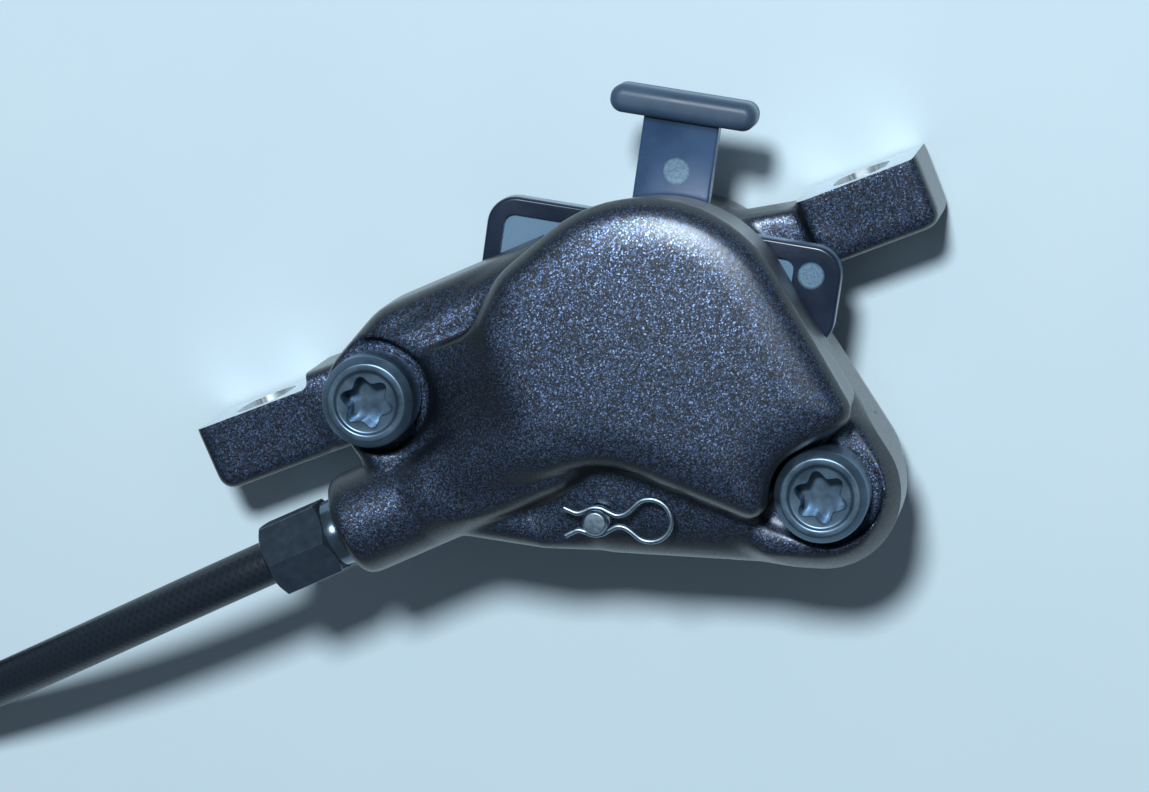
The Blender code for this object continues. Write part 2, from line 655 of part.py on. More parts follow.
def outboard_half():
    body = plate("outboard_body", body_plan(OUTBOARD_INSET), OUTBOARD_BASE,
                 ROTOR_PLANE - PARTING, parts)
    edge_round(body, SHOULDER_EDGE, at_top=False, at_bottom=True)
    back = plate("outboard_back", belt([(0.0, 0.0, PARTING_ARCH_R - BACK_EDGE),
                                        BACK_HOSE_CORNER, BACK_WEB_CORNER, BACK_FAR_CORNER]),
                 0.0, 2.0 * OUTBOARD_BASE)
    edge_round(back, FACE_EDGE, at_top=False, at_bottom=True)
    boss = cylinder("bleed_boss", BLEED_BOSS_R, 0.0, BLEED_BOSS_LENGTH, sides=20)
    edge_round(boss, BLEED_BOSS_EDGE, segments=1, at_top=False, at_bottom=True)
    bleed_axis = (CROSSOVER.y, BLEED_LEVEL)
    along(boss, (BLEED_END, *bleed_axis), (0.0, *bleed_axis))

    hose_ear = EAR_MID - EAR_SPACING / 2.0
    far_ear = EAR_MID + EAR_SPACING / 2.0
    left = ear("hose_end_ear", hose_ear, HOSE_BOLT.x - BOLT_R)
    right = ear("far_end_ear", far_ear, far_ear - EAR_LENGTH / 2.0)
    arm = plate("far_ear_arm", belt([ARM_ROOT, (far_ear - ARM_TIP_R, ARM_MID, ARM_TIP_R)]),
                ARM_LOW, ARM_HIGH)
    edge_round(arm, EAR_EDGE, segments=2, at_bottom=True)
    join(body, back, boss, left, right, arm)

    pad_space(body, "outboard")
    relief = plate("ear_relief",
                   rounded_box(hose_ear + EAR_LENGTH / 2.0, SHOULDER.x, EAR_FACE - FACE_STEP,
                               EAR_FACE + OVERCUT, FACE_STEP / 2.0),
                   EAR_LOW - OVERCUT, OUTBOARD_BASE)
    cut(body, ear_slot("hose_ear_slot", hose_ear), ear_slot("far_ear_slot", far_ear), relief)
    for where, name in ((HOSE_BOLT, "hose"), (FAR_BOLT, "far")):
        hole = cylinder(name + "_thread_hole", BOLT_R + FIT, -OVERCUT, ROTOR_PLANE + OVERCUT,
                        sides=16)
        place(hole, where.x, where.y)
        cut(body, hole)
    axle_hole = cylinder("outboard_axle_hole", AXLE_R + FIT, -OVERCUT, ROTOR_PLANE, sides=16)
    place(axle_hole, AXLE.x, AXLE.y)
    axle_seat = cylinder("axle_head_seat", AXLE_HEAD_R + FIT, -OVERCUT, AXLE_SEAT, sides=20)
    place(axle_seat, AXLE.x, AXLE.y)

    feed_start = Vector((CROSSOVER.x, CROSSOVER.y, BLEED_LEVEL))
    feed_end = Vector((*FEED_EXIT, ROTOR_PLANE - BORE_END + FEED_DROP))
    feed = cylinder("outboard_feed", DRILL_R, 0.0, (feed_end - feed_start).length, sides=12)
    along(feed, feed_start, feed_end)
    riser = cylinder("outboard_crossover", DRILL_R, BLEED_LEVEL, ROTOR_PLANE + OVERCUT, sides=12)
    place(riser, CROSSOVER.x, CROSSOVER.y)
    bleed_thread = cylinder("bleed_thread", BLEED_R + FIT, -OVERCUT, BLEED_SHANK + DRILL_SPARE,
                            sides=20)
    along(bleed_thread, (BLEED_END, *bleed_axis), (0.0, *bleed_axis))
    bleed_drill = cylinder("bleed_drill", DRILL_R, 0.0, CROSSOVER.x - BLEED_END + DRILL_R,
                           sides=12)
    along(bleed_drill, (BLEED_END, *bleed_axis), (0.0, *bleed_axis))
    cut(body, axle_seat, axle_hole, riser, feed, bleed_thread, bleed_drill)
    wear(body, paint)
    return body


# Body bolts: socket heads with a six-lobed star recess
def star_outline():
    """Six lobes and six waists of the socket, as a rounded star."""
    lobes = 6
    count = 4 * lobes
    points = []
    for k in range(count):
        angle = TAU * k / count
        swing = math.cos(lobes * angle)
        radius = (SOCKET_R + SOCKET_WAIST) / 2.0 + (SOCKET_R - SOCKET_WAIST) / 2.0 * swing
        points.append((radius * math.cos(angle), radius * math.sin(angle)))
    return points


def body_bolt(name, where, turn):
    top = BOLT_SEAT + FIT + BOLT_HEAD
    seat = BOLT_SEAT + FIT
    profile = [(0.0, top - HEAD_DIP), (HEAD_LAND_R_LOW, top - HEAD_DIP), (HEAD_LAND_R, top),
               (BOLT_HEAD_R - HEAD_CHAMFER, top), (BOLT_HEAD_R, top - HEAD_CHAMFER),
               (BOLT_HEAD_R, seat), (BOLT_R, seat), (BOLT_R, BOLT_END + BOLT_POINT),
               (BOLT_R - BOLT_POINT, BOLT_END), (0.0, BOLT_END)]
    bolt = turned(name, profile, 20, parts)
    place(bolt, where.x, where.y)
    socket = plate(name + "_socket", star_outline(), top - SOCKET_DEPTH, top + OVERCUT)
    place(socket, where.x, where.y, turn=(0.0, 0.0, turn))
    cut(bolt, socket)
    wear(bolt, blackened)
    return bolt


# Pistons and their square seals, alike on both sides of the rotor
def piston(side, sign):
    face = PISTON_FACE
    back = PISTON_FACE + PISTON_LENGTH
    outside = [(0.0, back), (PISTON_R - PISTON_CHAMFER, back), (PISTON_R, back - PISTON_CHAMFER),
               (PISTON_R, face + CHAMFER), (PISTON_R - CHAMFER, face), (PISTON_CUP_R, face),
               (PISTON_CUP_R, face + PISTON_CUP_DEPTH), (0.0, face + PISTON_CUP_DEPTH)]
    piece = turned(side + "_piston", outside, 24, parts)
    half_turn = 0.0 if sign > 0 else math.pi
    place(piece, turn=(half_turn, 0.0, 0.0), parent=pad_frame)
    wear(piece, phenolic)
    inner = PISTON_R + FIT
    outer = inner + SEAL_DEPTH - FIT
    low = SEAL_LEVEL - SEAL_WIDTH / 2.0
    high = SEAL_LEVEL + SEAL_WIDTH / 2.0
    ring = [(outer, high), (outer, low), (inner, low), (inner, high)]
    seal = turned(side + "_piston_seal", ring, 20, parts, closed=True)
    place(seal, turn=(half_turn, 0.0, 0.0), parent=pad_frame)
    wear(seal, rubber)


# Pads: steel backing plates that hang on the axle, and the lining bonded on them
def pad_outline():
    half = PAD_WIDTH / 2.0
    tab = PAD_TAB_WIDTH / 2.0
    corner = PAD_TAB_CORNER
    hollow = PAD_TAB_HOLLOW
    axle = AXLE_IN_PADS
    return belt([(PAD_MID + half - PAD_CORNER, PAD_BOTTOM + PAD_CORNER, PAD_CORNER),
                 (PAD_MID + half - PAD_CORNER, PAD_TOP - PAD_CORNER, PAD_CORNER),
                 (PAD_MID - half + PAD_CORNER, PAD_TOP - PAD_CORNER, PAD_CORNER),
                 (PAD_MID - half + PAD_CORNER, PAD_BOTTOM + PAD_CORNER, PAD_CORNER),
                 (axle.x - tab - hollow, PAD_BOTTOM - hollow, -hollow),
                 (axle.x - tab + corner, axle.y - CHAMFER, corner),
                 (axle.x + tab - corner, axle.y - CHAMFER, corner),
                 (axle.x + tab + hollow, PAD_BOTTOM - hollow, -hollow)])


def pad(side, sign):
    levels = sorted((sign * BACKING_FACE, sign * (BACKING_FACE + BACKING)))
    backing = plate(side + "_pad_plate", pad_outline(), *levels, collection=parts)
    place(backing, parent=pad_frame)
    hole = cylinder(side + "_pad_hole", AXLE_R + FIT, -POCKET_DEPTH, POCKET_DEPTH, sides=16)
    place(hole, AXLE_IN_PADS.x, AXLE_IN_PADS.y, parent=pad_frame)
    cut(backing, hole)
    wear(backing, steel)
    levels = sorted((sign * LINING_FACE, sign * (LINING_FACE + LINING)))
    half = LINING_WIDTH / 2.0
    lining = plate(side + "_friction_pad",
                   rounded_box(PAD_MID - half, PAD_MID + half, LINING_BOTTOM, LINING_TOP,
                               LINING_CORNER), *levels, collection=parts)
    place(lining, parent=pad_frame)
    wear(lining, friction)


# Pad spring: one folded leaf that pushes both backing plates apart, held by the axle
def pad_spring():
    outer = PAD_WIDTH / 2.0 - FIT
    inner = outer - SPRING_LEG
    leaf_out = BACKING_FACE - FIT
    leaf_in = leaf_out - SPRING_SHEET
    base = SPRING_BRIDGE_AT
    spring = None
    for side, sign in (("inboard", 1), ("outboard", -1)):
        levels = sorted((sign * leaf_in, sign * leaf_out))
        leaf = plate("spring_leaf_" + side,
                     rounded_box(PAD_MID - outer, PAD_MID + outer, PAD_BOTTOM + FIT,
                                 PAD_TOP - SPRING_TOP_GAP, SPRING_CORNER), *levels,
                     collection=None if spring else parts)
        window = plate("spring_window_" + side,
                       rounded_box(PAD_MID - inner, PAD_MID + inner, LINING_BOTTOM - FIT,
                                   PAD_TOP, SPRING_WINDOW_CORNER),
                       -POCKET_DEPTH, POCKET_DEPTH)
        foot = plate("spring_foot_" + side,
                     rounded_box(AXLE_IN_PADS.x - SPRING_BRIDGE_WIDTH / 2.0,
                                 AXLE_IN_PADS.x + SPRING_BRIDGE_WIDTH / 2.0, base,
                                 LINING_BOTTOM - SPRING_FOOT_LAP, FIT), *levels)
        for shape in (leaf, window, foot):
            place(shape, parent=pad_frame)
        cut(leaf, window)
        join(leaf, foot)
        if spring is None:
            spring = leaf
        else:
            join(spring, leaf)
    bridge = plate("spring_bridge",
                   rounded_box(AXLE_IN_PADS.x - SPRING_BRIDGE_WIDTH / 2.0,
                               AXLE_IN_PADS.x + SPRING_BRIDGE_WIDTH / 2.0, base,
                               base + SPRING_SHEET, SPRING_SHEET / 4.0),
                   -leaf_out, leaf_out)
    place(bridge, parent=pad_frame)
    join(spring, bridge)
    spring.name = "pad_spring"
    wear(spring, steel)


# Pad axle: a pin with a hex socket head outboard and a clip groove at its inboard end
def pad_axle():
    low = AXLE_SEAT - AXLE_HEAD - FIT
    edge = FINE_CHAMFER
    profile = [(0.0, AXLE_END), (AXLE_R - edge, AXLE_END), (AXLE_R, AXLE_END - edge),
               (AXLE_R, CLIP_LEVEL + CLIP_WIRE), (CLIP_GROOVE_R, CLIP_LEVEL + CLIP_WIRE),
               (CLIP_GROOVE_R, CLIP_LEVEL - CLIP_WIRE), (AXLE_R, CLIP_LEVEL - CLIP_WIRE),
               (AXLE_R, low + AXLE_HEAD), (AXLE_HEAD_R, low + AXLE_HEAD),
               (AXLE_HEAD_R, low + edge), (AXLE_HEAD_R - edge, low), (0.0, low)]
    axle = turned("pad_axle", profile, 16, parts)
    place(axle, AXLE.x, AXLE.y)
    key = plate("axle_key", circle(AXLE_KEY, 6), low - OVERCUT, low + AXLE_HEAD - edge)
    place(key, AXLE.x, AXLE.y)
    cut(axle, key)
    wear(axle, blackened)


# Hairpin clip: one spring wire whose legs grip the axle's groove on both sides
def hairpin_clip():
    grip = CLIP_GROOVE_R + CLIP_WIRE / 2.0 + CLIP_GRIP_GAP
    leg = [(-CLIP_TAIL, CLIP_TAIL_SPREAD), (grip * math.cos(math.radians(140.0)) - CLIP_PINCH,
                                            CLIP_PINCH)]
    for k in range(4):
        angle = math.radians(140.0 - 33.0 * k)
        leg.append((grip * math.cos(angle), grip * math.sin(angle)))
    leg.append((CLIP_THROAT_AT, CLIP_THROAT))
    meeting = math.asin(CLIP_THROAT / CLIP_EYE_R)
    turns = 12
    eye = []
    for k in range(turns + 1):
        angle = math.pi - meeting - (TAU - 2.0 * meeting) * k / turns
        eye.append((CLIP_EYE_AT + CLIP_EYE_R * math.cos(angle), CLIP_EYE_R * math.sin(angle)))
    mirrored = [(x, -y) for x, y in reversed(leg)]
    route = [(x, y, 0.0) for x, y in leg + eye + mirrored]
    clip = tube("hairpin_clip", route, CLIP_WIRE / 2.0, 1, parts)
    place(clip, AXLE.x, AXLE.y, CLIP_LEVEL, turn=(0.0, 0.0, CLIP_TILT))
    wear(clip, blackened)


# Transport spacer: a moulded plate between the pads, with wings, a stem and a cross handle
def transport_spacer():
    half = SPACER / 2.0
    tongue = SPACER_TONGUE_WIDTH / 2.0
    spacer = plate("transport_spacer",
                   rounded_box(PAD_MID - tongue, PAD_MID + tongue, SPACER_TONGUE_END,
                               WING_BOTTOM + WING_CORNER, SPACER_TONGUE_CORNER),
                   -half, half, parts)
    wings = plate("spacer_wings",
                  rounded_box(PAD_MID - WING_HALF, PAD_MID + WING_HALF, WING_BOTTOM, WING_TOP,
                              WING_CORNER), -half, half)
    edge_round(wings, WING_EDGE, segments=1, at_bottom=True)
    stem = plate("spacer_stem",
                 rounded_box(PAD_MID - STEM_WIDTH / 2.0, PAD_MID + STEM_WIDTH / 2.0,
                             WING_TOP - WING_RIM, HANDLE_END - HANDLE_THICK / 2.0, FIT),
                 -half, half)
    handle = plate("spacer_handle",
                   rounded_box(PAD_MID - HANDLE_LENGTH / 2.0, PAD_MID + HANDLE_LENGTH / 2.0,
                               HANDLE_END - HANDLE_THICK, HANDLE_END, HANDLE_CORNER),
                   -HANDLE_DEPTH / 2.0, HANDLE_DEPTH / 2.0)
    edge_round(handle, HANDLE_EDGE, segments=2, at_bottom=True)
    for shape in (spacer, wings, stem, handle):
        place(shape, parent=pad_frame)
    join(spacer, wings, stem, handle)
    for name, left, right in (("hose", PAD_MID - WING_HALF + WING_RIM, PAD_MID - tongue),
                              ("far", PAD_MID + tongue, PAD_MID + WING_HALF - WING_RIM)):
        for face, sign in (("inboard", 1), ("outboard", -1)):
            levels = sorted((sign * WING_WEB / 2.0, sign * (half + OVERCUT)))
            panel = plate("spacer_panel_" + name + "_" + face,
                          rounded_box(left, right, WING_BOTTOM + WING_RIM, WING_TOP - WING_RIM,
                                      PANEL_CORNER), *levels)
            place(panel, parent=pad_frame)
            cut(spacer, panel)
    wear(spacer, spacer_plastic)


# Compression fittings, the same at both ends of the hose, made about the hose's axis
def fitting(prefix, start, heading, nut_turn=0.0):
    """Nut, olive and barb on the hose, whose end is at start and which runs along heading."""
    start = Vector(start)
    heading = Vector(heading).normalized()
    end = start + heading
    nut_inner = PILOT_DEPTH + OLIVE_LENGTH + 2.0 * FIT
    thread_end = nut_inner + NUT_THREAD
    collar_end = thread_end + NUT_COLLAR
    outer = collar_end + NUT_HEX
    bore = HOSE_R + FIT
    collar = NUT_FLATS / 2.0 - FIT
    corner = NUT_FLATS / math.sqrt(3.0)
    wider = corner + BOND
    face = corner - NUT_CHAMFER_DEPTH
    nut = plate(prefix + "_nut", circle(corner, 6, nut_turn), collar_end, outer, parts)
    ends = turned(prefix + "_nut_chamfer",
                  [(0.0, outer + BOND), (face, outer + BOND), (wider, outer - NUT_CHAMFER),
                   (wider, collar_end + NUT_CHAMFER), (face, collar_end - BOND),
                   (0.0, collar_end - BOND)], 18)
    along(ends, start, end)
    combine(nut, ends, "INTERSECT")
    shank = turned(prefix + "_nut_shank",
                   [(0.0, collar_end + CHAMFER), (collar, collar_end + CHAMFER),
                    (collar, thread_end + FINE_CHAMFER), (PORT_THREAD_R - FIT, thread_end),
                    (PORT_THREAD_R - FIT, nut_inner + CHAMFER),
                    (PORT_THREAD_R - FIT - CHAMFER, nut_inner), (0.0, nut_inner)], 16)
    along(shank, start, end)
    hole = cylinder(prefix + "_nut_hole", bore, nut_inner - OVERCUT, outer + OVERCUT, sides=16)
    along(hole, start, end)
    along(nut, start, end)
    join(nut, shank)
    cut(nut, hole)
    wear(nut, blackened)

    low = PILOT_DEPTH + FIT
    high = low + OLIVE_LENGTH
    wide = PORT_THREAD_R - 2.0 * FIT
    ring = [(bore, high), (bore + FINE_CHAMFER, high), (wide, high - OLIVE_TAPER),
            (wide, low + OLIVE_TAPER), (bore + FINE_CHAMFER, low), (bore, low)]
    olive = turned(prefix + "_olive", ring, 16, parts, closed=True)
    along(olive, start, end)
    wear(olive, brass)

    inside = BARB_SHANK_R / 2.0
    flange = [(inside, BARB_SHANK), (BARB_SHANK_R, BARB_SHANK - CHAMFER), (BARB_SHANK_R, -FIT),
              (HOSE_R - FIT, -FIT), (HOSE_R - FIT, -FIT - BARB_FLANGE),
              (inside, -FIT - BARB_FLANGE)]
    barb = turned(prefix + "_barb", flange, 12, parts, closed=True)
    along(barb, start, end)
    wear(barb, brass)


# Hose: straight out of its nut, bending down, then lying on the coil
def smooth_route(knots, spacing):
    """Points read at even steps from a smooth curve through the knots."""
    points = [Vector(knot) for knot in knots]
    padded = [2.0 * points[0] - points[1]] + points + [2.0 * points[-1] - points[-2]]
    fine = []
    for k in range(1, len(padded) - 2):
        before, a, b, after = padded[k - 1:k + 3]
        for step in range(20):
            t = step / 20.0
            fine.append(0.5 * (2.0 * a + (b - before) * t
                               + (2.0 * before - 5.0 * a + 4.0 * b - after) * t * t
                               + (3.0 * a - before - 3.0 * b + after) * t * t * t))
    fine.append(points[-1])
    travelled = [0.0]
    for a, b in zip(fine, fine[1:]):
        travelled.append(travelled[-1] + (b - a).length)
    count = max(2, round(travelled[-1] / spacing))
    route = []
    index = 0
    for k in range(count + 1):
        goal = travelled[-1] * k / count
        while index < len(fine) - 2 and travelled[index + 1] < goal:
            index += 1
        span = travelled[index + 1] - travelled[index]
        route.append(fine[index].lerp(fine[index + 1], (goal - travelled[index]) / span))
    return route


HOSE_START = PORT_MOUTH + PORT_LINE * (PORT_DEPTH + PILOT_DEPTH - BARB_FLANGE - 2.0 * FIT)
HOSE_KNOTS = [HOSE_START,
              (-46.0 * MM, -8.15 * MM, 25.0 * MM),
              (-58.0 * MM, -8.95 * MM, 24.6 * MM),
              (-70.0 * MM, -10.0 * MM, 22.4 * MM),
              (-82.0 * MM, -11.2 * MM, 18.6 * MM),
              (-92.0 * MM, -12.2 * MM, 14.6 * MM),
              (-101.0 * MM, -12.9 * MM, 11.0 * MM),
              (-110.0 * MM, -13.3 * MM, 8.4 * MM)]
TAIL_END = Vector((-163.4 * MM, 55.0 * MM, NUT_FLATS / 2.0 + FLOOR_GAP))
TAIL_KNOTS = [(-168.6 * MM, 12.6 * MM, 2.75 * MM),
              (-169.3 * MM, 18.5 * MM, 2.75 * MM),
              (-169.0 * MM, 24.5 * MM, 3.1 * MM),
              (-168.1 * MM, 31.0 * MM, 3.8 * MM),
              (-166.8 * MM, 38.0 * MM, NUT_FLATS / 2.0 + FLOOR_GAP),
              TAIL_END]
TAIL_LINE = (Vector(TAIL_KNOTS[-2]) - TAIL_END).normalized()


def hose_length(name, knots, end, inward):
    """Stretch of hose along the knots, bored for the barb that is pushed in at one end."""
    line = tube(name, smooth_route(knots, HOSE_STEP), HOSE_R, 2, parts)
    bore = cylinder(name + "_end_bore", HOSE_BORE_R, -OVERCUT, BARB_SHANK + FIT, sides=12)
    along(bore, end, end + inward)
    cut(line, bore)
    wear(line, hose_skin)


def hose():
    hose_length("hose", HOSE_KNOTS, HOSE_START, -PORT_LINE)
    hose_length("hose_tail", TAIL_KNOTS, TAIL_END, TAIL_LINE)
    low = FLOOR_GAP
    high = low + 2.0 * COIL_PITCH
    half = COIL_PITCH
    ring = [(COIL_MID_R + half - HOSE_R, high), (COIL_MID_R + half, high - HOSE_R),
            (COIL_MID_R + half, low + HOSE_R), (COIL_MID_R + half - HOSE_R, low),
            (COIL_MID_R - half + HOSE_R, low), (COIL_MID_R - half, low + HOSE_R),
            (COIL_MID_R - half, high - HOSE_R), (COIL_MID_R - half + HOSE_R, high)]
    coil = turned("hose_coil", ring, 28, parts, closed=True)
    place(coil, COIL_CENTRE.x, COIL_CENTRE.y)
    wear(coil, hose_skin)


# Crossover seal between the halves, and the bleed screw with its seal
def small_fluid_parts():
    middle = ROTOR_PLANE + CROSS_SEAL_CORD - BOND
    cord = [(CROSS_SEAL_R + (CROSS_SEAL_CORD - BOND) * math.cos(-TAU * k / 6.0),
             middle + (CROSS_SEAL_CORD - BOND) * math.sin(-TAU * k / 6.0)) for k in range(6)]
    ring = turned("crossover_seal", cord, 16, parts, closed=True)
    place(ring, CROSSOVER.x, CROSSOVER.y)
    wear(ring, rubber)

    seat = -FIT
    neck = seat - BLEED_SEAL
    top = neck - FIT
    profile = [(0.0, BLEED_SHANK), (BLEED_R - BLEED_POINT + FINE_CHAMFER, BLEED_SHANK),
               (BLEED_R, BLEED_SHANK - BLEED_POINT), (BLEED_R, top), (BLEED_HEAD_R, top),
               (BLEED_HEAD_R, top - BLEED_HEAD + CHAMFER),
               (BLEED_HEAD_R - CHAMFER, top - BLEED_HEAD), (0.0, top - BLEED_HEAD)]
    screw = turned("bleed_screw", profile, 16, parts)
    key = plate("bleed_key", circle(BLEED_KEY, 6), top - BLEED_HEAD - OVERCUT, top - CHAMFER)
    start = Vector((BLEED_END, CROSSOVER.y, BLEED_LEVEL))
    end = start + Vector((1.0, 0.0, 0.0))
    along(screw, start, end)
    along(key, start, end)
    cut(screw, key)
    wear(screw, blackened)
    washer = [(BLEED_HEAD_R, seat), (BLEED_HEAD_R, neck), (BLEED_R + FIT, neck),
              (BLEED_R + FIT, seat)]
    gasket = turned("bleed_screw_seal", washer, 16, parts, closed=True)
    along(gasket, start, end)
    wear(gasket, rubber)


inboard_half()
outboard_half()
body_bolt("hose_end_body_bolt", HOSE_BOLT, math.radians(24.0))
body_bolt("far_end_body_bolt", FAR_BOLT, math.radians(20.0))
for side_name, side_sign in (("inboard", 1), ("outboard", -1)):
    piston(side_name, side_sign)
    pad(side_name, side_sign)
pad_spring()
pad_axle()
hairpin_clip()
transport_spacer()
fitting("hose", HOSE_START, -PORT_LINE, nut_turn=TAU / 12.0)
fitting("lever_end", TAIL_END, TAIL_LINE)
hose()
small_fluid_parts()
for finished in parts.objects:
    if finished.type == "MESH":
        shade(finished)
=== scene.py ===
import math

import bmesh
import bpy
import numpy as np
from mathutils import Matrix, Vector


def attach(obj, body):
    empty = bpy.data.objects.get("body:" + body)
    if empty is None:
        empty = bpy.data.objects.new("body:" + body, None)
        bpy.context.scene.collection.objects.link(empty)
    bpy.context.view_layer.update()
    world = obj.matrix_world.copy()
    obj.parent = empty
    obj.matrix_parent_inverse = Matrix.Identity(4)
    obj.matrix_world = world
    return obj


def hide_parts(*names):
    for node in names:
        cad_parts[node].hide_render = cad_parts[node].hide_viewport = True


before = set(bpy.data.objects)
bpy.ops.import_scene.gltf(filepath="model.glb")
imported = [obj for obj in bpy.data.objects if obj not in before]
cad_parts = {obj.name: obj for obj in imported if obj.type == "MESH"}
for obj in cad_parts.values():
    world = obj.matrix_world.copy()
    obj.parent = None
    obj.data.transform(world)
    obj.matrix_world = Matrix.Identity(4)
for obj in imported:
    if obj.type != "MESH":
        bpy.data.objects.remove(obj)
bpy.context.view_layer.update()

# Camera of the photograph: looking down on the inboard half from 14 degrees off the vertical.
# The caliper's hose end is on the left and its transport spacer points up.
lens = bpy.data.cameras.new("camera")
lens.lens = 120.0
lens.sensor_width = 36.0
lens.clip_start = 0.01
camera = bpy.data.objects.new("camera", lens)
bpy.context.scene.collection.objects.link(camera)
camera.matrix_world = Matrix((
    (0.91336518, 0.33967747, 0.22446218, 0.0833856),
    (-0.36825312, 0.92437305, 0.09961983, 0.039022),
    (-0.17364818, -0.17364818, 0.96937744, 0.4325388),
    (0.0, 0.0, 0.0, 1.0)))
bpy.context.scene.camera = camera
bpy.context.scene.view_settings.view_transform = "Standard"

# Brake hose: a 5 mm hydraulic hose, black polyamide skin extruded over a braid that shows faintly.
# It runs straight out of its nut and bends down; the length the photograph doesn't show lies coiled
# beside the caliper in two layers, and ends in its second compression fitting.
MM = 0.001
TAU = 2.0 * math.pi
HOSE_R = 2.5 * MM
HOSE_BORE_R = 1.3 * MM
HOSE_BORE_DEPTH = 9.3 * MM
BRAID_PITCH = 0.95 * MM
BRAID_STRANDS = 12
PORT_MOUTH = Vector((-40.6 * MM, -7.85 * MM, 25.0 * MM))
PORT_TILT = math.radians(3.2)
PORT_LINE = Vector((math.cos(PORT_TILT), math.sin(PORT_TILT), 0.0))
HOSE_START = PORT_MOUTH + PORT_LINE * 12.8 * MM
HOSE_KNOTS = [HOSE_START,
              (-46.0 * MM, -8.15 * MM, 25.0 * MM),
              (-58.0 * MM, -8.95 * MM, 24.6 * MM),
              (-70.0 * MM, -10.0 * MM, 22.4 * MM),
              (-82.0 * MM, -11.2 * MM, 18.6 * MM),
              (-92.0 * MM, -12.2 * MM, 14.6 * MM),
              (-101.0 * MM, -12.9 * MM, 11.0 * MM),
              (-110.0 * MM, -13.3 * MM, 8.4 * MM)]
TAIL_END = Vector((-163.4 * MM, 55.0 * MM, 4.1 * MM))
TAIL_KNOTS = [(-168.6 * MM, 12.6 * MM, 2.75 * MM),
              (-169.3 * MM, 18.5 * MM, 2.75 * MM),
              (-169.0 * MM, 24.5 * MM, 3.1 * MM),
              (-168.1 * MM, 31.0 * MM, 3.8 * MM),
              (-166.8 * MM, 38.0 * MM, 4.1 * MM),
              TAIL_END]
COIL_CENTRE = Vector((-131.0 * MM, 18.3 * MM))
COIL_OUTER = 32.6 * MM
COIL_INNER = 27.4 * MM
COIL_LAST = 37.8 * MM
COIL_TOP = 7.9 * MM
COIL_LOW = 2.7 * MM
COIL_START = -87.0
COIL_SWEEP = 1524.0
COIL_STEP = 6.0
# Degrees of sweep over which the coil steps in, down, out again and beside its last turn
COIL_IN = (318.0, 362.0)
COIL_DOWN = (640.0, 690.0)
COIL_OUT = (950.0, 1000.0)
COIL_BESIDE = (1310.0, 1360.0)
ROUTE_SPACING = 2.0 * MM


def smooth_route(knots, spacing):
    """Points at even steps along a smooth curve through the knots."""
    points = [Vector(knot) for knot in knots]
    padded = [2.0 * points[0] - points[1]] + points + [2.0 * points[-1] - points[-2]]
    fine = []
    for k in range(1, len(padded) - 2):
        before, a, b, after = padded[k - 1:k + 3]
        for step in range(20):
            t = step / 20.0
            fine.append(0.5 * (2.0 * a + (b - before) * t
                               + (2.0 * before - 5.0 * a + 4.0 * b - after) * t * t
                               + (3.0 * a - before - 3.0 * b + after) * t * t * t))
    fine.append(points[-1])
    travelled = np.cumsum([0.0] + [(b - a).length for a, b in zip(fine, fine[1:])])
    count = max(2, round(travelled[-1] / spacing))
    goals = np.linspace(0.0, travelled[-1], count + 1)
    rows = [np.interp(goals, travelled, [point[axis] for point in fine]) for axis in range(3)]
    return [Vector(row) for row in zip(*rows)]


def eased(value, start, end):
    """0 before start, 1 after end, and a smooth step between them."""
    t = min(1.0, max(0.0, (value - start) / (end - start)))
    return t * t * (3.0 - 2.0 * t)


def coil_route():
    """Turns of the coil: outside in on the top layer, then inside out on the lower one."""
    points = []
    for swept in np.arange(0.0, COIL_SWEEP, COIL_STEP):
        radius = COIL_OUTER
        radius += (COIL_INNER - COIL_OUTER) * eased(swept, *COIL_IN)
        radius += (COIL_OUTER - COIL_INNER) * eased(swept, *COIL_OUT)
        radius += (COIL_LAST - COIL_OUTER) * eased(swept, *COIL_BESIDE)
        height = COIL_TOP + (COIL_LOW - COIL_TOP) * eased(swept, *COIL_DOWN)
        angle = math.radians(COIL_START - swept)
        points.append(Vector((COIL_CENTRE.x + radius * math.cos(angle),
                              COIL_CENTRE.y + radius * math.sin(angle), height)))
    return points


def show(name, mesh):
    """Object for a mesh, in the scene."""
    piece = bpy.data.objects.new(name, mesh)
    bpy.context.scene.collection.objects.link(piece)
    return piece


